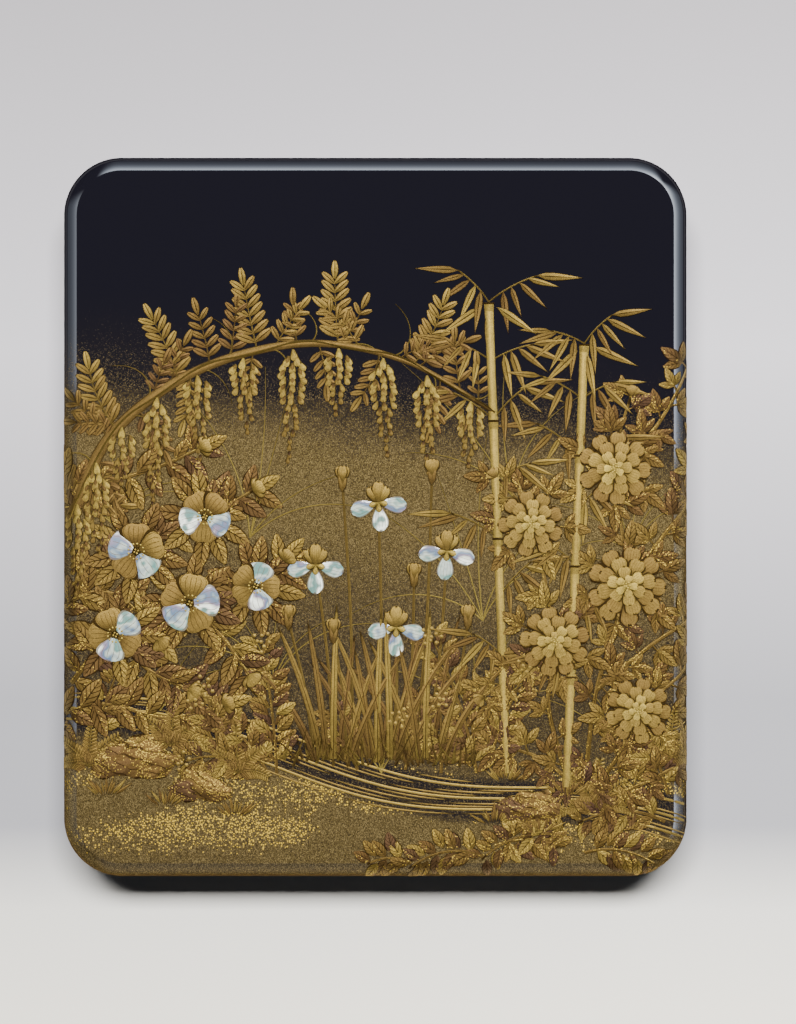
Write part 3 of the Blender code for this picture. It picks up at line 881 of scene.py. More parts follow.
@dataclass(frozen=True)
class GrownForm:
    """One small leaf, leaflet or petal in low relief, its root at the origin, growing along +X."""

    length: float
    width: float
    outline: Outline
    rise: float = 0.00032
    lip: float = 0.00014
    fold: float = 0.0
    ruffle: float = 0.0
    columns: int = 6
    rows: int = 4
    sink: float = 0.0012

    def mesh(self) -> Form:
        """Builds the form's mesh."""
        return low_form(self.columns, self.rows, self._point, -self.sink)

    def _point(self, share: float, across: float) -> Vector:
        """The place of a grid point. The grid is finer near the tip.

        Args:
            share: Its share along the grid, from 0 to 1.
            across: Its share across, from -1 to 1.

        Returns:
            The place.
        """
        along = share * (1.55 - 0.55 * share)
        half = self.width / 2 * max(self.outline.half_width(along), 0.03)
        wave = self.ruffle * math.cos(3 * math.pi * across) * along**3
        bulge = max(1 - across * across, 0.0) * math.sin(math.pi * (0.12 + 0.8 * along))
        crease = self.fold * max(1 - 4 * abs(across), 0.0)
        height = self.lip + (self.rise - self.lip) * bulge - crease
        return Vector((self.length * along * (1 + wave), half * across, height))


class Spray:
    """Gathers many small forms, on the flat plan, into one piece of relief."""

    TILT = (0.020, 0.012)
    TONE_SPREAD = 0.07
    LAYER = 0.000012
    LAYERS = 9
    BAND_SINK = 0.0010
    CREASE = 38

    def __init__(self, seed: int) -> None:
        """Starts empty, with its own seeded chance."""
        self.bm = bmesh.new()
        self.chance = random.Random(seed)
        self.count = 0
        self.forms: list[Form] = []

    def jitter(self, spread: float) -> float:
        """A chance number from -spread to spread."""
        return self.chance.uniform(-spread, spread)

    def keep(self, form: Form) -> Form:
        """Keeps a form for stamping until the spray is finished."""
        self.forms.append(form)
        return form

    def form(self, size: Size, outline: Outline, **shape: float) -> Form:
        """A leaf, leaflet or petal to stamp."""
        return self.keep(GrownForm(*size, outline, **shape).mesh())

    def bead(self, radius: float) -> Form:
        """A small flattened bead to stamp."""
        bm = mapped_bmesh()
        bmesh.ops.create_icosphere(bm, subdivisions=1, radius=radius, matrix=Matrix.Diagonal((1, 1, 0.7, 1)))
        paint_map(bm, bm.faces, lambda place: (0.5, 0.25))
        return self.keep(toned_mesh(bm))

    def stamp(self, form: Form, at: Matrix, tone: float, lift: float = 0.0, scale: float = 1.0) -> None:
        """Adds a copy of a form.

        Args:
            form: The form's mesh.
            at: Its frame on the plan.
            tone: From 0, dark and reddish, to 1, pale and bright.
            lift: How far it stands over its neighbours.
            scale: Its size in the plan.
        """
        tilt_x, tilt_y = (Matrix.Rotation(self.jitter(tilt), 4, axis) for tilt, axis in zip(self.TILT, "XY"))
        copy = form.copy()
        copy.transform(at @ Matrix.Diagonal((scale, scale, 1.0, 1.0)) @ (tilt_x @ tilt_y))
        self._join(copy, tone + self.jitter(self.TONE_SPREAD), lift)

    def _join(self, mesh: Form, tone: float, lift: float) -> None:
        """Takes a placed mesh into the piece, each a little over the one before, and removes it.

        Args:
            mesh: The mesh.
            tone: Its tone.
            lift: How far it stands over its neighbours.
        """
        mesh.transform(Matrix.Translation((0, 0, lift + self.LAYER * (self.count % self.LAYERS))))
        shade = min(max(tone, 0.0), 1.0)
        mesh.attributes["tone"].data.foreach_set("value", [shade] * len(mesh.vertices))
        self.bm.from_mesh(mesh)
        bpy.data.meshes.remove(mesh)
        self.count += 1

    def band(
        self, line: Curve, width: Width, tone: float, columns: int = 12, rise: float = 0.00035,
        lip: float = 0.00012, rows: int = 2, lift: float = 0.0,
    ) -> None:
        """Adds a long band along a line, such as a stem, a blade or a ripple.

        Args:
            line: The middle line.
            width: The full width at a share of the length.
            tone: From 0, dark and reddish, to 1, pale and bright.
            columns: How many faces it has along its length.
            rise: The height of its crown.
            lip: The height of its edge.
            rows: How many faces it has across.
            lift: How far it stands over its neighbours.
        """

        def point(t: float, across: float) -> Vector:
            """The place of a point of the band."""
            along = line(min(t + 0.01, 1.0)) - line(max(t - 0.01, 0.0))
            aside = Vector((-along.y, along.x, 0)).normalized() * width(t) / 2 * across
            return line(t) + aside + Vector((0, 0, lip + (rise - lip) * (1 - across * across)))

        self._join(low_form(columns, rows, point, -self.BAND_SINK), tone, lift)

    def finish(
        self,
        name: str,
        finish: RaisedGold | MotherOfPearl,
        slot: str = "lid_lacquer",
        nodes: Sequence[str] = (),
    ) -> None:
        """Lays the spray on the lid as one piece.

        Args:
            name: The piece's name.
            finish: Its finish.
            slot: Not used.
            nodes: The CAD nodes that it stands for.
        """
        mesh = made_mesh(self.bm, name)
        points = np.empty(len(mesh.vertices) * 3)
        mesh.vertices.foreach_get("co", points)
        mesh.vertices.foreach_set("co", SURFACE.lay(points.reshape(-1, 3)).ravel())
        mesh.update()
        for form in self.forms:
            bpy.data.meshes.remove(form)
        material = bpy.data.materials.get(finish.name) or finish.material()
        house_piece(name, mesh, nodes, [material], self.CREASE)


@dataclass
class Shell:
    """What the lid and the tray share: a rounded block, stepped in from its level faces."""

    corner_steps: int = 28

    def block(self, low: float, high: float) -> Bm:
        """A closed block with rounded upright edges.

        Args:
            low: The height of its bottom.
            high: The height of its top.

        Returns:
            The block's bmesh.
        """
        bm = bmesh.new()
        bmesh.ops.create_cube(bm, size=1.0)
        size = Matrix.Diagonal((2 * BOX.half_width, 2 * BOX.half_length, high - low, 1.0))
        bmesh.ops.transform(bm, matrix=Matrix.Translation((0, 0, (low + high) / 2)) @ size, verts=bm.verts)
        half = (high - low) / 2
        upright = [edge for edge in bm.edges if abs(edge.verts[0].co.z - edge.verts[1].co.z) > half]
        bmesh.ops.bevel(
            bm,
            geom=upright,
            offset=BOX.corner,
            segments=self.corner_steps,
            profile=0.5,
            affect="EDGES",
            material=-1,
        )
        bm.normal_update()
        return bm

    @staticmethod
    def level(bm: Bm, highest: bool) -> Face:
        """The highest or the lowest level face."""
        level = [face for face in bm.faces if abs(face.normal.z) > 0.99]
        return (max if highest else min)(level, key=lambda face: face.calc_center_median().z)

    @staticmethod
    def step(bm: Bm, face: Face, places: Iterable[Size]) -> None:
        """Insets a level face and moves it to a height, again and again.

        Args:
            bm: Its bmesh.
            face: The face.
            places: For each step, how far in it goes and its height.
        """
        for inward, height in places:
            bmesh.ops.inset_region(bm, faces=[face], thickness=inward, depth=0, use_even_offset=True)
            for vert in face.verts:
                vert.co.z = height
            bm.normal_update()

    @staticmethod
    def steps_of(section: Sequence[Size]) -> Iterable[Size]:
        """The steps along a section, from how far in and how high each of its points is."""
        return ((inward - before, height) for (before, _), (inward, height) in zip(section, section[1:]))

    def house(
        self, bm: Bm, name: str, outside: set[Face], finishes: Sequence[GardenLacquer | SprinkledLacquer],
        slot: str, node: str, crease: float,
    ) -> None:
        """Dresses a shell outside and inside, and puts it in the scene.

        Args:
            bm: Its bmesh.
            name: The piece's name.
            outside: The faces that take the first finish.
            finishes: The outside's finish and the inside's.
            slot: Not used.
            node: The CAD node that it stands for.
            crease: The angle, in degrees, past which an edge stays sharp.
        """
        for face in bm.faces:
            face.material_index = 0 if face in outside else 1
        materials = [finish.material() for finish in finishes]
        house_piece(name, made_mesh(bm, name), [node], materials, crease)


@dataclass
class LidShell(Shell):
    """The hollow lid: the side, the rounded rim with its crisp arris, and the flat panel."""

    rim_steps: int = 16

    def build(self) -> None:
        """Builds the lid and dresses it outside and inside."""
        bm = self.block(BOX.seat_z, BOX.panel_z - BOX.rim_drop)
        section = [BOX.rim(BOX.rim_sweep * step / self.rim_steps) for step in range(self.rim_steps + 1)]
        self.step(bm, self.level(bm, highest=True), self.steps_of(section))
        seat = self.level(bm, highest=False)
        outside = set(bm.faces) - {seat}
        self.step(bm, seat, ((BOX.lid_wall, BOX.seat_z), (0.0, BOX.panel_z - BOX.lid_plate)))
        finishes = GardenLacquer(), SprinkledLacquer("inner_lacquer", (0.009, 0.004, 0.002), 0.5)
        self.house(bm, "lid_shell", outside, finishes, "lid_lacquer", "lid", 11)


@dataclass
class Tray(Shell):
    """The tray: the plinth that the lid stands on, the wall inside the lid, and the floor."""

    foot_steps: int = 5
    foot: float = 0.0012
    chamfer: float = 0.0006

    def build(self) -> None:
        """Builds the tray and dresses it."""
        bm = self.block(self.foot, BOX.plinth)
        turns = [math.pi / 2 * step / self.foot_steps for step in range(self.foot_steps + 1)]
        section = [(self.foot * (1 - math.cos(turn)), self.foot * (1 - math.sin(turn))) for turn in turns]
        self.step(bm, self.level(bm, highest=False), self.steps_of(section))
        rim, top, chamfer = self.level(bm, highest=True), BOX.tray_rim_z, self.chamfer
        wall = (
            (BOX.lid_wall + BOX.clearance, BOX.plinth),
            (0.0, top - chamfer),
            (chamfer, top),
            (BOX.tray_wall - 2 * chamfer, top),
            (chamfer, top - chamfer),
        )
        self.step(bm, rim, wall)
        outside = set(bm.faces) - {rim}
        self.step(bm, rim, ((0.0, BOX.tray_floor),))
        black = SprinkledLacquer("tray_lacquer", (0.0030, 0.0030, 0.0050), 0.012)
        finishes = black, SprinkledLacquer("well_lacquer", (0.009, 0.004, 0.002), 0.5)
        self.house(bm, "tray_shell", outside, finishes, "tray_lacquer", "tray", 25)


LEAF_GOLD = RaisedGold(
    "leaf_gold", veins=6.0, slant=0.55, width=0.20, midrib=0.035, two_tone=0.12, flakes=0.55, bare_half=0.94
)
LEAFLET_GOLD = RaisedGold("leaflet_gold", midrib=0.06, two_tone=0.18)
PETAL_GOLD = RaisedGold(
    "petal_gold", rays=7.0, width=0.12, border=0.40, roughness=0.52, line_depth=0.55, root_painted_shade=0.45
)
STEM_GOLD = RaisedGold("stem_gold", edge_depth=0.55, root_painted_shade=0.8)
PALE_GOLD = RaisedGold("pale_gold", edge_depth=0.35, roughness=0.50, root_painted_shade=0.8)
BLADE_GOLD = RaisedGold("blade_gold", midrib=0.05, two_tone=0.15, edge_depth=0.6, root_painted_shade=0.5)
ROCK_GOLD = RaisedGold(
    "rock_gold", veins=5.0, rays=4.0, width=0.14, line_depth=0.6, flakes=0.62, edge_depth=0.85
)
SHELL = MotherOfPearl()


@dataclass
class Wisteria:
    """The flowering vine from the left: its stem, feathered leaves and hanging clusters."""

    path: Path = ((-1.02, 0.00), (-0.88, 0.24), (-0.60, 0.42), (-0.24, 0.50), (0.10, 0.45), (0.40, 0.30))
    thickness: float = 0.0046
    strand: float = 0.0018
    tendrils: int = 12
    tendril: float = 0.017
    clusters: int = 11
    cluster_length: float = 0.0400
    cluster_width: float = 0.0095
    floret_pitch: float = 0.0024
    floret: Size = (0.0041, 0.0036)
    keel: Size = (0.0026, 0.0014)
    leaves: int = 6
    leaf_length: float = 0.0235
    side_leaves: int = 24
    side_leaf_length: float = 0.0150
    leaflet: Size = (0.0074, 0.0031)
    leaflet_pitch: float = 0.0034

    def build(self) -> None:
        """Builds the vine's three pieces."""
        line = smooth_curve(self.path)
        self._stem(line).finish("wisteria_stem", STEM_GOLD)
        self._leaves(line).finish("wisteria_leaves", LEAFLET_GOLD)
        self._clusters(line).finish("wisteria_clusters", PETAL_GOLD)

    def _stem(self, line: Curve) -> Spray:
        """The twisting stem along the vine's line, in two strands, and its tendrils.

        Args:
            line: The vine's line.

        Returns:
            The spray, unfinished.
        """
        spray = Spray(11)
        spray.band(line, taper(self.thickness, 0.7), 0.45, columns=60, rise=0.0006, rows=4)

        def strand(t: float) -> Vector:
            """The middle of the strand that winds about the stem."""
            sway = 0.0011 * (1 - 0.6 * t) * math.sin(34 * t)
            return line(t) + Vector((0.3 * sway, sway, 0))

        spray.band(strand, taper(self.strand, 0.6), 0.72, columns=80, rise=0.00075, lift=0.0001)
        for i in range(self.tendrils):
            heading = 100 - 12 * i + spray.jitter(25)
            reach = self.tendril + spray.jitter(0.004)
            curl = arc(line(0.05 + 0.08 * i), heading, reach, 170 if i % 2 else -170)
            spray.band(curl, taper(0.0006, 0.6), 0.85, columns=14, rise=0.0003)
        return spray

    def _leaves(self, line: Curve) -> Spray:
        """Feathered leaves along the vine's line: the main ones, and smaller ones between and below.

        Args:
            line: The vine's line.

        Returns:
            The spray, unfinished.
        """
        spray = Spray(12)
        leaflet = spray.form(self.leaflet, Outline.LEAFLET, fold=0.00006, columns=5)
        for i in range(self.leaves):
            t = (i + 0.4) / (self.leaves + 0.6)
            heading = heading_at(line, t) + 90 + 14 * math.sin(2.1 * i)
            self._feather(spray, leaflet, line(t), min(heading, 128), self.leaf_length, 0.55)
        for i in range(self.side_leaves):
            t = (i + 0.7) / (self.side_leaves + 1)
            heading = heading_at(line, t) + (1 if i % 3 else -1) * (90 + spray.jitter(46))
            length = self.side_leaf_length + spray.jitter(0.0035)
            self._feather(spray, leaflet, line(t), heading, length, 0.34 + spray.jitter(0.18))
        return spray

    def _feather(
        self, spray: Spray, leaflet: Form, root: Vector, heading: float, length: float, tone: float
    ) -> None:
        """Adds one feathered leaf of leaflets in pairs along a bent midrib.

        Args:
            spray: The spray that it joins.
            leaflet: The leaflet's form.
            root: The foot of its midrib.
            heading: The midrib's direction, in degrees.
            length: The midrib's length.
            tone: Its tone.
        """
        rib = arc(root, heading, length, spray.jitter(30))
        spray.band(rib, taper(0.0007, 0.5), tone + 0.15, columns=8, rise=0.00028)
        pairs = max(round(length / self.leaflet_pitch), 3)
        for k in range(pairs):
            t = (k + 1.0) / (pairs + 0.8)
            turn = heading_at(rib, t)
            size = (1.0 - 0.30 * t) * length / self.leaf_length * 0.72 + 0.28
            for side in (-1, 1):
                at = turned(rib(t), turn + side * (62 - 18 * t) + spray.jitter(5))
                spray.stamp(leaflet, at, tone + 0.1 * t, 0.00004 * k, size)
        spray.stamp(leaflet, turned(rib(0.97), turn), tone + 0.2, 0.0002, 0.85)

    def _clusters(self, line: Curve) -> Spray:
        """Hanging clusters of small flowers that narrow to their tips, along the vine's line.

        Args:
            line: The vine's line.

        Returns:
            The spray, unfinished.
        """
        spray = Spray(13)
        floret = spray.form(self.floret, Outline.FAN, rise=0.00038, ruffle=0.05, columns=4, rows=6)
        keel = spray.form(self.keel, Outline.LEAFLET, rise=0.00034, columns=3, rows=2)
        for i in range(self.clusters):
            root = line((i + 0.6) / (self.clusters + 0.4)) - Vector((0, 0.0015, 0))
            length = self.cluster_length * (0.78 + 0.22 * math.sin(2.4 * i))
            lean = 0.06 * math.sin(1.7 * i)
            rows = round(length / self.floret_pitch)
            for row in range(rows):
                u = row / rows
                middle = root + Vector((lean * length * u * u, -length * u, 0))
                swell = min(1.0, 0.35 + 4.5 * u) * (1 - 0.85 * u)
                across = max(1, round(self.cluster_width * swell / self.floret_pitch))
                for column in range(across):
                    off = column - (across - 1) / 2
                    aside = off * self.floret_pitch + spray.jitter(0.0003)
                    foot = middle + Vector((aside, spray.jitter(0.0004), 0))
                    at = turned(foot, 270 + 24 * off + spray.jitter(12))
                    bright, size = 0.92 - 0.42 * u, 1.0 - 0.45 * u
                    spray.stamp(floret, at, bright, 0.00045 - 0.0003 * u - 0.0001 * abs(off), size)
                    if (row + column) % 2:
                        spray.stamp(keel, at, bright - 0.45, 0.0006 - 0.0003 * u, size)
        return spray


@dataclass
class Camellias:
    """Camellias from the left, each with three gold petals and two of shell, and their leaves."""

    flowers: Flowers = (
        (-0.80, -0.10, 1.00), (-0.57, 0.00, 0.92), (-0.62, -0.25, 1.05),
        (-0.87, -0.34, 0.95), (-0.40, -0.20, 0.86),
    )
    radius: float = 0.0098
    petals: int = 5
    shell: tuple[int, ...] = (1, 3)
    leaf: Size = (0.0128, 0.0064)
    stem: float = 0.0020
    bead: float = 0.00042
    stamens: int = 13
    stems: tuple[Path, ...] = (
        ((-1.02, -0.48), (-0.87, -0.34), (-0.62, -0.25), (-0.40, -0.20), (-0.30, -0.12)),
        ((-1.02, -0.20), (-0.80, -0.10), (-0.57, 0.00), (-0.40, 0.08)),
        ((-1.10, 0.10), (-0.92, 0.10), (-0.74, 0.14), (-0.58, 0.20)),
        ((-0.62, -0.25), (-0.50, -0.36), (-0.42, -0.46)),
        ((-0.87, -0.34), (-0.76, -0.44), (-0.62, -0.50)),
        ((-1.10, -0.58), (-0.90, -0.54), (-0.70, -0.58), (-0.50, -0.54)),
        ((-1.12, -0.30), (-0.96, -0.22), (-0.84, -0.24), (-0.72, -0.36)),
    )

    def build(self) -> None:
        """Builds the camellias' pieces."""
        self._leaves().finish("camellia_leaves", LEAF_GOLD)
        gold, shell = self._blooms()
        gold.finish("camellia_petals", PETAL_GOLD)
        count = len(self.flowers)
        nodes = [f"camellia_{f + 1}_shell_petal_{p + 1}" for f in range(count) for p in self.shell]
        shell.finish("camellia_shell_petals", SHELL, "mother_of_pearl", nodes)
        self._eyes().finish("camellia_eyes", PALE_GOLD)

    def _leaves(self) -> Spray:
        """Stems and glossy leaves behind the flowers."""
        spray = Spray(21)
        leaf = spray.form(self.leaf, Outline.LEAF, fold=0.00009, columns=7)
        for path in self.stems:
            line = smooth_curve(path)
            spray.band(line, taper(self.stem, 0.45), 0.55, columns=24, rise=0.00036)
            count = round(len(path) * 4.2)
            for k in range(count):
                t = (k + 0.5) / count
                turn = heading_at(line, t) + (58 if k % 2 else -58) + spray.jitter(24)
                tone, size = 0.38 + spray.jitter(0.30), 0.85 + spray.jitter(0.18)
                spray.stamp(leaf, turned(line(t), turn), tone, 0.00005 * (k % 5), size)
            spray.stamp(leaf, turned(line(0.98), heading_at(line, 0.98)), 0.7, 0.0001, 0.8)
        for number, (x, y, size) in enumerate(self.flowers):
            for k in range(9):
                turn = 108 + 31 * number + 40 * k + spray.jitter(12)
                root = turned(spot(x, y), turn, 0.66 * self.radius * size)
                spray.stamp(leaf, root, 0.45 + spray.jitter(0.3), 0.00018 + 0.00003 * (k % 3), 0.95)
        return spray

    def _blooms(self) -> tuple[Spray, Spray]:
        """The gold petals and buds, and the shell petals."""
        gold, shell = Spray(22), Spray(23)
        length = 0.86 * self.radius
        width = 2 * 0.86 * length * math.tan(math.pi / self.petals)
        shape = {"outline": Outline.PETAL, "ruffle": 0.03, "columns": 8, "rows": 8}
        petal = gold.form((length, 1.14 * width), rise=0.00045, **shape)
        plate = shell.form((length, width), rise=0.00042, lip=0.0003, **shape)
        for number, (x, y, size) in enumerate(self.flowers):
            for k in range(self.petals):
                at = turned(spot(x, y), 90 + 31 * number + 360 * k / self.petals, 0.14 * self.radius * size)
                if k in self.shell:
                    shell.stamp(plate, at, shell.chance.random(), 0.0004, size)
                else:
                    gold.stamp(petal, at, 0.60, 0.00034 + 0.00004 * k, size)
        for path in self.stems:
            line = smooth_curve(path)
            for k in range(3):
                at = turned(line(0.97), heading_at(line, 0.97) + 26 * (k - 1))
                gold.stamp(petal, at, 0.72, 0.0004 if k == 1 else 0.0003, 0.50)
        return gold, shell

    def _eyes(self) -> Spray:
        """The stamens: a ring of beads round a few in the middle, on fine threads."""
        spray = Spray(24)
        bead = spray.bead(self.bead)
        for number, (x, y, size) in enumerate(self.flowers):
            reach = self.radius * size * 0.25
            for k in range(self.stamens):
                turn = 360 * k / self.stamens + 9 * number
                thread = arc(turned(spot(x, y), turn) @ Vector((0.0004, 0, 0)), turn, reach, 8)
                spray.band(thread, taper(0.00032), 0.7, columns=3, lift=0.0005)
                spray.stamp(bead, turned(spot(x, y), turn, reach * 1.1), 0.95, 0.00085)
            for k in range(4):
                spray.stamp(bead, turned(spot(x, y), 90 * k + 20, 0.0007), 0.9, 0.0009)
        return spray


@dataclass
class Peonies:
    """Full peonies on the right, with leaves in threes on their stems."""

    flowers: Flowers = (
        (0.80, 0.14, 1.00), (0.52, -0.02, 0.90), (0.84, -0.20, 1.08),
        (0.60, -0.36, 0.96), (0.88, -0.56, 0.90),
    )
    radius: float = 0.0125
    rings: tuple[tuple[int, float, float, float, float], ...] = (
        (9, 0.40, 0.96, 0.50, 0.00066),
        (8, 0.20, 0.88, 0.62, 0.00084),
        (6, 0.06, 0.70, 0.75, 0.00102),
        (5, 0.0, 0.46, 0.90, 0.00118),
    )
    petal: Size = (0.0078, 0.0084)
    leaflet: Size = (0.0100, 0.0048)
    stalk: float = 0.0032
    stem: float = 0.0018
    bead: float = 0.00036
    buds: int = 5
    stems: tuple[Path, ...] = (
        ((0.70, -0.80), (0.74, -0.50), (0.84, -0.20), (0.80, 0.14), (0.86, 0.36)),
        ((0.66, -0.80), (0.58, -0.55), (0.60, -0.36), (0.52, -0.02), (0.40, 0.12)),
        ((0.72, -0.80), (0.82, -0.68), (0.88, -0.56), (1.04, -0.44), (1.12, -0.30)),
        ((0.84, -0.20), (0.96, -0.06), (1.08, 0.08), (1.12, 0.26)),
        ((0.60, -0.36), (0.46, -0.46), (0.36, -0.52)),
        ((0.70, -0.80), (0.56, -0.70), (0.42, -0.66)),
        ((0.74, -0.50), (0.94, -0.36), (1.10, -0.28)),
        ((0.80, 0.14), (0.94, 0.26), (1.06, 0.44)),
        ((0.74, -0.82), (0.92, -0.76), (1.12, -0.66)),
    )

    def build(self) -> None:
        """Builds the peonies' pieces."""
        self._leaves().finish("peony_leaves", LEAF_GOLD)
        self._blooms().finish("peony_petals", PETAL_GOLD)
        self._eyes().finish("peony_eyes", PALE_GOLD)

    def _leaves(self) -> Spray:
        """Stems, with leaves of three leaflets along them and round the flowers."""
        spray = Spray(31)
        leaflet = spray.form(self.leaflet, Outline.LEAF, fold=0.00008)
        for path in self.stems:
            line = smooth_curve(path)
            spray.band(line, taper(self.stem, 0.45), 0.55, columns=24, rise=0.00034)
            count = round(len(path) * 3.2)
            for k in range(count):
                t = (k + 0.6) / count
                turn = heading_at(line, t) + (64 if k % 2 else -64) + spray.jitter(24)
                size, tone = 0.84 + spray.jitter(0.15), 0.38 + spray.jitter(0.30)
                self._leaf_of_three(spray, leaflet, line(t), turn, size, tone)
        for number, (x, y, size) in enumerate(self.flowers):
            for k in range(6):
                turn = 150 + 24 * number + 60 * k + spray.jitter(10)
                root = turned(spot(x, y), turn) @ Vector((0.78 * self.radius * size, 0, 0))
                self._leaf_of_three(spray, leaflet, root, turn, 0.95, 0.5 + spray.jitter(0.25))
        return spray

    def _leaf_of_three(
        self, spray: Spray, leaflet: Form, root: Vector, turn: float, size: float, tone: float
    ) -> None:
        """Adds a leaf of three leaflets on a short stalk.

        Args:
            spray: The spray that it joins.
            leaflet: The leaflet's form.
            root: The foot of its stalk.
            turn: The stalk's direction, in degrees.
            size: Its size.
            tone: Its tone.
        """
        stalk = self.stalk * size
        spray.band(arc(root, turn, stalk * 1.4, 0), taper(0.0007), tone, columns=3, rise=0.0003)
        for lean, share, lift in ((-52, 0.78, 0.00008), (52, 0.78, 0.00008), (0, 1.0, 0.00018)):
            fan = turned(root, turn) @ turned(Vector((stalk, 0, 0)), lean + spray.jitter(6))
            spray.stamp(leaflet, fan, tone, lift, size * share)

    def _blooms(self) -> Spray:
        """Four rings of ruffled petals, from broad and low to small and upright, and buds."""
        spray = Spray(32)
        petal = spray.form(self.petal, Outline.FAN, rise=0.00026, ruffle=0.05, columns=7, rows=12)
        for number, (x, y, size) in enumerate(self.flowers):
            radius = self.radius * size
            for ring, (count, inner, scale, tone, lift) in enumerate(self.rings):
                for k in range(count):
                    turn = 19 * number + 360 * (k + 0.5 * ring) / count + spray.jitter(4)
                    shade, up = tone + 0.10 * (k % 2), lift + 0.00004 * (k % 2)
                    at = turned(spot(x, y), turn, inner * radius)
                    spray.stamp(petal, at, shade, up, scale * radius / self.radius)
        for path in self.stems[: self.buds]:
            line = smooth_curve(path)
            for k in range(3):
                at = turned(line(0.98), heading_at(line, 0.98) + 28 * (k - 1))
                spray.stamp(petal, at, 0.66, 0.0004 if k == 1 else 0.0003, 0.46)
        return spray

    def _eyes(self) -> Spray:
        """Beads at each peony's heart."""
        spray = Spray(33)
        bead = spray.bead(self.bead)
        for number, (x, y, size) in enumerate(self.flowers):
            for k in range(12):
                reach = 0.00050 * math.sqrt(k) * size
                spray.stamp(bead, turned(spot(x, y), GOLDEN_ANGLE * k + 19 * number, reach), 0.98, 0.00134)
        return spray


@dataclass
class Irises:
    """Irises by the stream: sword blades, stems, gold standards and shell falls."""

    flowers: Path = ((-0.20, -0.14), (0.01, 0.04), (0.24, -0.10), (0.07, -0.32))
    buds: Path = ((-0.11, 0.10), (0.13, -0.18), (0.19, 0.12), (-0.14, -0.34), (0.31, -0.30), (-0.29, -0.30))
    root_y: float = -0.70
    gather: float = 0.70
    stem: float = 0.0013
    blades: int = 7
    blade_length: float = 0.0560
    blade_width: float = 0.0027
    blade_tones: tuple[float, ...] = (0.34, 0.62, 0.48, 0.80)
    grass: int = 60
    petal: Size = (0.0070, 0.0048)
    sheath: Size = (0.0090, 0.0022)
    fall: Size = (0.0085, 0.0058)

    def build(self) -> None:
        """Builds the irises' pieces."""
        self._blades().finish("iris_blades", BLADE_GOLD)
        self._standards().finish("iris_standards", PETAL_GOLD)
        nodes = [f"iris_{f + 1}_shell_petal_{p + 1}" for f in range(len(self.flowers)) for p in range(3)]
        self._falls().finish("iris_shell_petals", SHELL, "mother_of_pearl", nodes)

    def _blades(self) -> Spray:
        """Stems, blades in a clump and the grass at their feet."""
        spray = Spray(41)
        for x, y in (*self.flowers, *self.buds):
            middle = (x * (1 + self.gather) / 2 + 0.012, (y + self.root_y) / 2)
            stem = smooth_curve(((x * self.gather, self.root_y), middle, (x, y)))
            spray.band(stem, taper(self.stem, 0.35), 0.62, columns=16, rise=0.0004)
        for number, (x, _) in enumerate(self.flowers):
            for k in range(self.blades):
                spread = k - (self.blades - 1) / 2
                root = spot(x * self.gather, self.root_y)
                start = root + Vector((0.0021 * spread, spray.jitter(0.0012), 0))
                length = self.blade_length * (1 - 0.06 * abs(spread) + 0.08 * math.sin(2.7 * number + k))
                length *= 0.88 + spray.jitter(0.12)
                blade = arc(start, 90 - 5.5 * spread, length, -9 * spread - spray.jitter(8))
                tone, lift = self.blade_tones[k % 4], 0.00006 * (k % 4)
                spray.band(blade, self._sword, tone, columns=14, rise=0.00036, rows=4, lift=lift)
        for k in range(self.grass):
            x = -0.30 + 0.65 * k / self.grass + spray.jitter(0.01)
            start = spot(x, self.root_y - 0.01 + spray.jitter(0.012))
            blade = arc(start, 90 + spray.jitter(34), 0.008 + spray.jitter(0.004), spray.jitter(40))
            spray.band(blade, taper(0.0010, 0.85), 0.6 + spray.jitter(0.3), columns=5, lift=0.00025)
        return spray

    def _sword(self, t: float) -> float:
        """A blade's width, full to two thirds of its length."""
        return self.blade_width * (1 - 0.25 * t) * math.sqrt(max(1 - t**4, 0.0008))

    @staticmethod
    def _fall_turn(number: int, k: int) -> float:
        """The direction of one of an iris's three falls, in degrees."""
        return 270 + 78 * (k - 1) + 7 * math.sin(2.0 * number)

    def _standards(self) -> Spray:
        """The upright gold petals, the crests on the falls, and the buds with their sheaths."""
        spray = Spray(42)
        petal = spray.form(self.petal, Outline.PETAL, rise=0.0004, ruffle=0.04, columns=7, rows=6)
        sheath = spray.form(self.sheath, Outline.LANCE)
        for number, (x, y) in enumerate(self.flowers):
            for lean, size, lift in ((-30, 0.9, 0.0003), (30, 0.9, 0.0003), (0, 1.05, 0.00042)):
                spray.stamp(petal, turned(spot(x, y), 90 + lean), 0.74, lift, size)
            for k in range(3):
                spray.stamp(petal, turned(spot(x, y), self._fall_turn(number, k)), 0.92, 0.00062, 0.46)
        for x, y in self.buds:
            for lean, lift in ((-13, 0.00024), (13, 0.00024), (0, 0.00034)):
                spray.stamp(petal, turned(spot(x, y), 90 + lean), 0.66, lift, 0.80)
            for side in (-1, 1):
                at = turned(spot(x, y) - Vector((0, 0.0035, 0)), 90 + 11 * side)
                spray.stamp(sheath, at, 0.48, 0.00036, 0.85)
        return spray

    def _falls(self) -> Spray:
        """The hanging petals of shell."""
        spray = Spray(43)
        plate = spray.form(self.fall, Outline.PETAL, rise=0.00042, lip=0.0003, ruffle=0.05, columns=8, rows=8)
        for number, (x, y) in enumerate(self.flowers):
            for k in range(3):
                at = turned(spot(x, y), self._fall_turn(number, k), 0.0012)
                spray.stamp(plate, at, spray.chance.random(), 0.0002)
        return spray


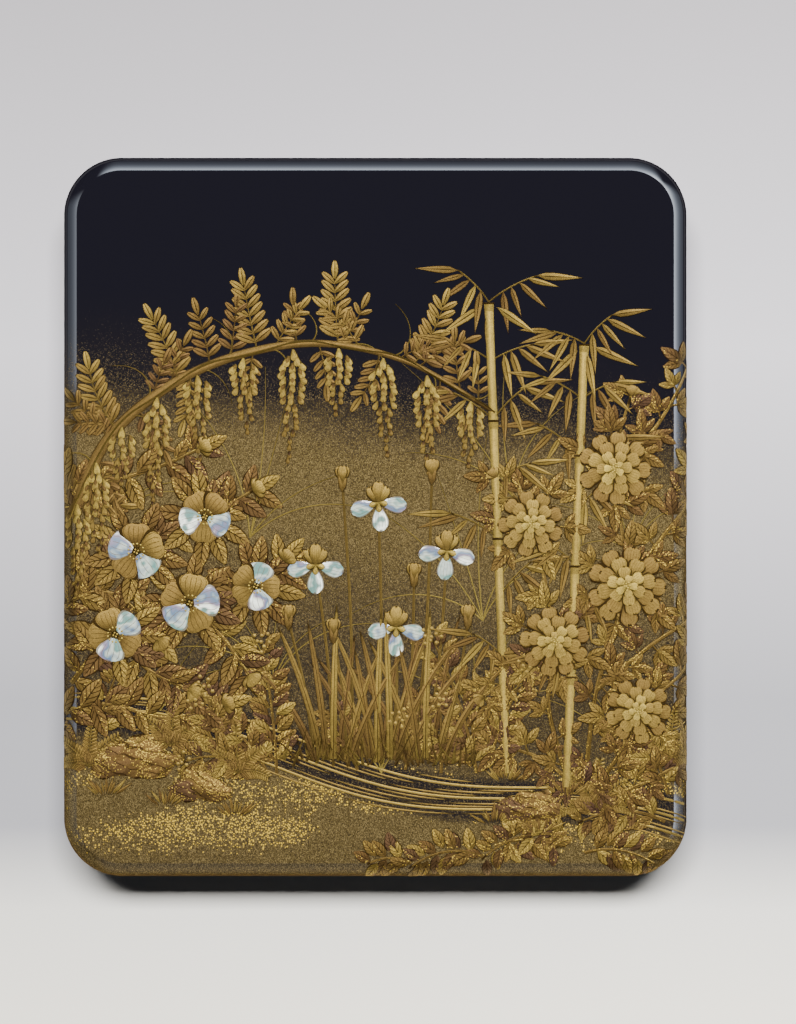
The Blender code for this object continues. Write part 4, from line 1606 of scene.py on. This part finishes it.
@dataclass
class Bamboo:
    """Pale bamboo culms behind the flowers, with narrow leaves on fine twigs."""

    culms: tuple[Path, ...] = (((0.44, -0.74), (0.38, 0.62)), ((0.64, -0.78), (0.70, 0.50)))
    width: float = 0.0034
    internodes: int = 4
    gap: float = 0.0008
    leaf: Size = (0.0170, 0.0031)
    twig: float = 0.015

    def build(self) -> None:
        """Builds the bamboo's pieces."""
        self._culms().finish("bamboo_culms", PALE_GOLD)
        self._leaves().finish("bamboo_leaves", LEAFLET_GOLD)

    def _culms(self) -> Spray:
        """The culms, each of internodes that flare at their ends, with a ring at each joint."""
        spray = Spray(51)
        for foot, top in self.culms:
            start, rise = spot(*foot), spot(*top) - spot(*foot)
            for k in range(self.internodes):
                low = start + rise * (k / self.internodes)
                high = start + rise * ((k + 1) / self.internodes) - rise.normalized() * self.gap
                joint = high + rise.normalized() * 0.0003 - Vector((self.width * 0.56, 0, 0))
                spray.band(straight(low, high), self._flare, 0.88, columns=16, rise=0.0005, rows=6)
                ring = straight(joint, joint + Vector((self.width * 1.12, 0, 0)))
                spray.band(ring, taper(0.0007), 0.35, columns=4, rise=0.00054)
        return spray

    def _flare(self, t: float) -> float:
        """A culm's width, wider at its joints."""
        return self.width * (0.86 + 0.14 * abs(2 * t - 1) ** 6)

    def _leaves(self) -> Spray:
        """Narrow leaves in small fans, from the tops and the joints."""
        spray = Spray(52)
        leaf = spray.form(self.leaf, Outline.LANCE, fold=0.00006, columns=8)
        for number, (foot, top) in enumerate(self.culms):
            start, rise = spot(*foot), spot(*top) - spot(*foot)
            for k in range(3):
                spray.stamp(leaf, turned(start + rise, 214 + 56 * k + 11 * number, self.width), 0.72, 0.0002)
            for joint in range(2, 2 * self.internodes + 1):
                root = start + rise * (joint / 2 / self.internodes)
                for side in (-1, 1) if joint > 5 else (1 if joint % 2 else -1,):
                    heading = 90 - side * (44 + spray.jitter(14))
                    twig = arc(root, heading, self.twig + spray.jitter(0.004), -side * 24)
                    spray.band(twig, taper(0.0006), 0.75, columns=6, rise=0.0003)
                    for k in range(5):
                        at = turned(twig(0.32 + 0.17 * k), 270 + side * (4 + 22 * k) + spray.jitter(7))
                        spray.stamp(leaf, at, 0.6 + spray.jitter(0.22), 0.00015, 0.80 + spray.jitter(0.16))
        return spray


@dataclass
class Undergrowth:
    """Low shrubs with berries between the taller plants, ferns, clumps of grass and fine arching grass."""

    shrubs: tuple[tuple[float, float, float, float], ...] = (
        (-0.36, -0.74, 118, 0.036), (-0.33, -0.74, 92, 0.046), (-0.38, -0.73, 146, 0.028),
        (-0.52, -0.70, 96, 0.026), (0.34, -0.74, 100, 0.050), (0.37, -0.73, 72, 0.040),
        (0.32, -0.72, 126, 0.030), (0.22, -0.74, 88, 0.026), (-0.06, -0.73, 104, 0.022),
        (0.10, -0.73, 78, 0.024), (-0.94, -0.64, 74, 0.026), (0.98, -0.80, 104, 0.030),
        (0.97, -0.88, 150, 0.030), (0.66, -0.93, 158, 0.032), (0.36, -0.98, 156, 0.026),
        (0.70, -0.97, 18, 0.026), (0.40, -0.95, 24, 0.022), (0.12, -1.00, 150, 0.015),
    )
    berried: int = 8
    ferns: Path = ((-0.96, -0.72), (-0.68, -0.66), (-0.46, -0.74), (0.74, -0.84), (0.98, -0.70))
    clumps: Path = (
        (0.44, -0.76), (0.64, -0.80), (-0.90, -0.80), (-0.70, -0.83),
        (-0.47, -0.86), (0.40, -0.88), (0.55, -0.91),
    )
    grasses: tuple[tuple[float, float, float, int, float], ...] = (
        (-0.88, -0.02, 96, 7, 0.030), (-0.34, -0.48, 96, 6, 0.040), (0.34, -0.62, 84, 6, 0.044),
        (0.86, -0.10, 104, 6, 0.030), (0.02, -0.74, 92, 5, 0.030), (-0.72, -0.56, 84, 5, 0.034),
        (0.88, -0.74, 96, 5, 0.036), (-0.42, -0.06, 70, 5, 0.052), (0.36, -0.30, 100, 6, 0.050),
        (0.46, 0.06, 108, 4, 0.046),
    )
    leaf: Size = (0.0088, 0.0050)
    leaf_tones: tuple[float, ...] = (0.10, 0.40, 0.58, 0.26, 0.78)
    leaf_pitch: float = 0.0032
    stem: float = 0.0013
    berry: float = 0.00085
    blade: Size = (0.0056, 0.0010)
    pinna: Size = (0.0033, 0.0014)
    frond: float = 0.017
    pinnae: int = 12

    def build(self) -> None:
        """Builds the undergrowth's pieces."""
        self._shrubs().finish("shrub_leaves", LEAF_GOLD)
        self._berries().finish("shrub_berries", PALE_GOLD)
        self._ground_plants().finish("ground_plants", LEAFLET_GOLD)
        self._grasses().finish("tall_grasses", PALE_GOLD)

    def _stem(self, x: float, y: float, heading: float, length: float) -> Curve:
        """A shrub's bending stem."""
        return arc(spot(x, y), heading, length, (heading - 90) * 0.9 + 8)

    def _shrubs(self) -> Spray:
        """Stems with pairs of leaves, many of them dark."""
        spray = Spray(71)
        leaf = spray.form(self.leaf, Outline.LEAF, fold=0.00008)
        for shrub in self.shrubs:
            line = self._stem(*shrub)
            spray.band(line, taper(self.stem, 0.5), 0.5, columns=14, rise=0.0003)
            count = round(shrub[3] / self.leaf_pitch)
            for k in range(count):
                t = (k + 1.4) / (count + 1)
                for side in (-1, 1):
                    turn = heading_at(line, t) + side * (56 + spray.jitter(14))
                    tone = self.leaf_tones[(k + side) % 5]
                    at = turned(line(t), turn, 0.0005 + 0.001 * (k % 2))
                    spray.stamp(leaf, at, tone, 0.00004 * (k % 4), 1.0 - 0.25 * t)
        return spray

    def _berries(self) -> Spray:
        """Berries in a loose bunch at the tips of the first shrubs."""
        spray = Spray(72)
        berry = spray.bead(self.berry)
        for number, shrub in enumerate(self.shrubs[: self.berried]):
            tip = self._stem(*shrub)(0.99)
            for k in range(9):
                at = turned(tip, GOLDEN_ANGLE * k + 30 * number, 0.0013 * math.sqrt(k))
                spray.stamp(berry, at, 0.72, 0.00025)
        return spray

    def _ground_plants(self) -> Spray:
        """Clumps of grass at the feet of the bamboo and the rocks, and fern fronds."""
        spray = Spray(63)
        blade = spray.form(self.blade, Outline.LANCE, rise=0.00026, columns=4, rows=2)
        pinna = spray.form(self.pinna, Outline.LEAFLET, rise=0.00026, columns=3, rows=2)
        for x, y in self.clumps:
            for k in range(-5, 6):
                root = spot(x, y) + Vector((0.0006 * k, spray.jitter(0.0006), 0))
                at = turned(root, 90 - 11 * k + spray.jitter(8))
                spray.stamp(blade, at, 0.60 + spray.jitter(0.25), 0.0002, 1.05 + spray.jitter(0.3))
        for x, y in self.ferns:
            for k in range(-2, 3):
                length = self.frond - 0.002 * abs(k) + spray.jitter(0.002)
                rib = arc(spot(x, y), 90 + 30 * k + spray.jitter(8), length, 34 * k)
                spray.band(rib, taper(0.0005), 0.7, columns=6, rise=0.00026, lift=0.0001)
                for step in range(self.pinnae):
                    t = (step + 1) / (self.pinnae + 1)
                    for side in (-1, 1):
                        at = turned(rib(t), heading_at(rib, t) + side * 60)
                        spray.stamp(pinna, at, 0.46 + 0.03 * step, 0.0001, 1.25 - 0.75 * t)
        return spray

    def _grasses(self) -> Spray:
        """Fine arching grass, behind the flowers and over the rim."""
        spray = Spray(64)
        for x, y, heading, count, reach in self.grasses:
            for k in range(count):
                lean = (k - (count - 1) / 2) * 13 + spray.jitter(5)
                line = arc(spot(x, y), heading - lean, reach * (1 + spray.jitter(0.3)), -lean * 2.6 - 8)
                spray.band(line, taper(0.00050, 0.6), 0.95, columns=20, rise=0.00022, lip=0.0001)
        return spray


@dataclass
class Stream:
    """The stream's ripples and the rocks on its banks."""

    lines: int = 3
    start_y: float = -0.52
    end_y: float = -0.86
    spacing: float = 0.0050
    sway: float = 0.0050
    waves: float = 1.3
    short_ripples: int = 40
    short_rows: tuple[float, ...] = (-0.35, 0.5, 1.5, 2.4, 0.3, 1.25, 0.75, 1.75)
    ends: Size = (-0.03, 1.03)
    ripple: float = 0.0009
    short_ripple: float = 0.0006
    rocks: Flowers = ((-0.80, -0.70, 1.00), (-0.58, -0.78, 0.73), (0.52, -0.84, 0.80))
    rock_radius: float = 0.0150
    rock_height: float = 0.00085
    lumps: Flowers = ((-0.42, -0.10, 0.62), (0.40, -0.16, 0.58), (0.0, 0.10, 0.78))
    moss: int = 46
    bead: float = 0.00040

    def build(self) -> None:
        """Builds the stream's pieces."""
        self._ripples().finish("stream_ripples", PALE_GOLD)
        self._rocks().finish("bank_rocks", ROCK_GOLD)
        self._moss().finish("rock_moss", PALE_GOLD)

    def _course(self, row: float, low: float, high: float) -> Curve:
        """Part of one line of the stream.

        Args:
            row: Which line it is, in spacings down from the first.
            low: Where the part starts, as a share of the panel's width.
            high: Where it ends.

        Returns:
            A function from 0..1 to a point on the line.
        """
        span = 2 * BOX.panel_half[0]
        fall = (self.end_y - self.start_y) * BOX.panel_half[1]
        root = spot(-1, self.start_y) - Vector((0, self.spacing * row, 0))

        def at(t: float) -> Vector:
            """The point at a share of the part."""
            u = low + (high - low) * t
            wave = self.sway * math.sin(2 * math.pi * (self.waves * u + 0.04 * row))
            return root + Vector((span * u, fall * u + wave, 0))

        return at

    def _ripples(self) -> Spray:
        """Long ripples that sway together, with shorter ones between them."""
        spray = Spray(61)
        for row in range(self.lines):
            spray.band(self._course(row, *self.ends), taper(self.ripple), 0.80, columns=90, rise=0.00026)
        for k in range(self.short_ripples):
            low = -0.02 + 0.0245 * k
            high = min(low + 0.10 + 0.03 * (k % 4), self.ends[1])
            line = self._course(self.short_rows[k % len(self.short_rows)], low, high)
            spray.band(line, self._fading, 0.62, columns=22, rise=0.00022)
        return spray

    def _fading(self, t: float) -> float:
        """A short ripple's width, fading at both ends."""
        return self.short_ripple * math.sqrt(max(1 - (2 * t - 1) ** 2, 0.002))

    def _rocks(self) -> Spray:
        """Low, craggy rocks, each of three lumps."""
        spray = Spray(62)
        for number, (x, y, size) in enumerate(self.rocks):
            for lump, (off_x, off_y, share) in enumerate(self.lumps):
                place = spot(x, y) + Vector((off_x, off_y * 0.6, 0)) * self.rock_radius * size
                self._lump(spray, place, self.rock_radius * size * share, 3 * number + lump)
        return spray

    def _lump(self, spray: Spray, place: Vector, radius: float, seed: int) -> None:
        """Adds one lump: a craggy, flattened ball.

        Args:
            spray: The spray that it joins.
            place: Its middle on the plan.
            radius: Half its width.
            seed: Its number, which gives it a shape of its own.
        """
        bm = mapped_bmesh()
        bmesh.ops.create_icosphere(bm, subdivisions=3, radius=1.0)
        for vert in bm.verts:
            crag = noise.cell(vert.co * 2.3 + Vector((seed, 0, 0))) - 0.5
            swell = 1 + 0.34 * noise.noise(vert.co * 1.7 + Vector((0, seed, 0))) + 0.16 * crag
            x, y, z = vert.co
            vert.co = Vector((x * radius * swell, y * radius * 0.62 * swell, z * self.rock_height * swell))

        def strata(at: Vector) -> Size:
            """Bends the map, so that its lines wander over the rock."""
            x, y = at.x / radius, at.y / radius
            return 0.44 + 0.26 * x + 0.10 * noise.noise(Vector((3 * x, 5 * y, seed))), 0.5 + 0.72 * y

        paint_map(bm, bm.faces, strata)
        lump = spray.keep(toned_mesh(bm))
        spray.stamp(lump, turned(place, 12 * math.sin(seed)), 0.16 + 0.1 * (seed % 3))

    def _moss(self) -> Spray:
        """Beads of moss along the rocks' upper edges."""
        spray = Spray(65)
        bead = spray.bead(self.bead)
        for x, y, size in self.rocks:
            for k in range(self.moss):
                a = math.radians(8 + 164 * k / (self.moss - 1))
                reach = self.rock_radius * size * (0.86 + spray.jitter(0.12))
                at = turned(spot(x, y) + Vector((math.cos(a) * reach, math.sin(a) * reach * 0.52, 0)), 0)
                spray.stamp(bead, at, 0.7 + spray.jitter(0.25), 0.0003, 1 + spray.jitter(0.3))
        return spray


def area_light(name: str, size: Size, power: float) -> bpy.types.Light:
    """A rectangular light.

    Args:
        name: Its name.
        size: Its two sizes.
        power: Its power, in watts.

    Returns:
        Its data.
    """
    data = bpy.data.lights.new(name, "AREA")
    data.shape = "RECTANGLE"
    data.size, data.size_y = size
    data.energy = power
    return data


@dataclass(frozen=True)
class Strip:
    """A long reflector beside the box, seen only in the polish of the lacquer and the metals."""

    name: str
    bearing: float
    along: float
    length: float
    peak: float
    fade: float
    tail: float
    tint: Colour = (0.76, 0.86, 1.0)
    bright: Colour = (0.97, 0.98, 1.0)
    near: float = math.radians(33)
    far: float = math.radians(84)
    distance: float = 1.0

    def build(self) -> None:
        """Sets it up, brightest along its inner edge."""
        middle, spread = (self.near + self.far) / 2, (self.far - self.near) / 2
        width, reach = 2 * self.distance * math.sin(spread), self.distance * math.cos(spread)
        around = Matrix.Rotation(math.radians(self.bearing), 4, "Z")
        up = reach * math.cos(middle) + BOX.panel_z
        place = around @ Vector((self.along, reach * math.sin(middle), up))
        data = area_light(self.name, (self.length, width), self.peak * math.pi * self.length * width)
        data.use_nodes = True
        wires = Wires(data.node_tree)
        sideways, inward, _ = wires.split(wires.add("NewGeometry").outputs["Parametric"])
        glow = wires.math("EXPONENT", wires.times(wires.minus(inward, 1.0), self.fade))
        soft = wires.times(wires.remap(wires.apart(sideways, 0.5), 0.5, 0.28), wires.remap(inward, 1.0, 0.88))
        strength = wires.times(wires.plus(glow, self.tail), soft)
        inputs = {"Strength": strength, "Color": wires.mix(glow, self.tint, self.bright)}
        wires.dress(data.node_tree.nodes["Emission"], inputs)
        light = put(self.name, data, place, around @ Vector((self.along, 0, BOX.panel_z)))
        light.visible_diffuse = False


@dataclass
class Studio:
    """A pale floor, a soft key light, reflectors beside the box and the camera straight above."""

    camera_place: tuple[float, float, float] = (0.00784, 0.00166, 1.5443)
    lens: float = 152.7
    key_place: tuple[float, float, float] = (0.0, 1.27, 5.0)
    key_size: Size = (2.00, 0.75)
    key_power: float = 695.0
    strips: tuple[Strip, ...] = (
        Strip("strip_far", 0, 0.10, 1.10, 80.0, 6.8, 0.008),
        Strip("strip_right", -90, -0.10, 1.20, 50.0, 5.6, 0.024),
        Strip("strip_left", 90, -0.05, 1.10, 15.0, 5.2, 0.07),
        Strip("strip_front", 180, 0.0, 1.00, 4.5, 0.7, 0.0, (1.0, 0.93, 0.80)),
    )
    floor_size: float = 3.0
    floor_reach: float = 0.20
    # Painted light: these tones paint the light's falloff, a bright front, and a grey band of shade from the
    # box's front edge back.
    floor_tones_with_painted_light: Stops = (
        (0.06, (0.96, 0.910, 0.790)),
        (0.150, (0.83, 0.805, 0.735)),
        (0.225, (0.37, 0.366, 0.386)),
        (0.337, (0.36, 0.356, 0.376)),
        (0.648, (0.625, 0.603, 0.630)),
        (0.96, (0.425, 0.403, 0.420)),
    )
    sky: Colour = (0.72, 0.82, 1.0)
    sky_strength: float = 0.022

    def build(self) -> None:
        """Sets up the studio."""
        self._floor()
        self._world()
        key = area_light("key", self.key_size, self.key_power)
        put("key", key, self.key_place, Vector((0, 0, BOX.panel_z)))
        for strip in self.strips:
            strip.build()
        data = bpy.data.cameras.new("camera")
        data.lens = self.lens
        bpy.context.scene.camera = put("camera", data, self.camera_place)

    def _floor(self) -> None:
        """The pale floor, with painted light: a little lighter to the right, bright in front of the box, and
        painted grey, as in shade, from the box's front edge back.
        """
        bm = bmesh.new()
        bmesh.ops.create_grid(bm, x_segments=1, y_segments=1, size=self.floor_size)
        mesh = made_mesh(bm, "floor")
        material, wires, shader = new_material("pale_paper")
        x, y, _ = wires.split(wires.place())
        share = wires.math("DIVIDE", wires.plus(y, self.floor_reach), 2 * self.floor_reach)
        # Painted light: the floor is painted lighter to the right.
        tone = wires.scaled(wires.ramp(share, self.floor_tones_with_painted_light), wires.remap(x, -0.16, 0.16, 0.945, 1.11))
        wires.dress(shader, {"Base Color": tone, "Roughness": 0.9, "Specular IOR Level": 0.0})
        mesh.materials.append(material)
        put("floor", mesh)

    def _world(self) -> None:
        """Dim, even light from all round."""
        world = bpy.data.worlds.new("studio")
        world.use_nodes = True
        inputs = {"Color": self.sky, "Strength": self.sky_strength}
        Wires(world.node_tree).dress(world.node_tree.nodes["Background"], inputs)
        bpy.context.scene.world = world


def main() -> None:
    """Builds the box, its picture and the studio."""
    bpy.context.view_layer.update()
    shells = LidShell(), Tray()
    garden = Wisteria(), Bamboo(), Camellias(), Peonies(), Irises(), Undergrowth(), Stream()
    for part in (*shells, *garden):
        part.build()
    Studio().build()


if __name__ == "__main__":
    logging.basicConfig(level=logging.INFO)
    main()
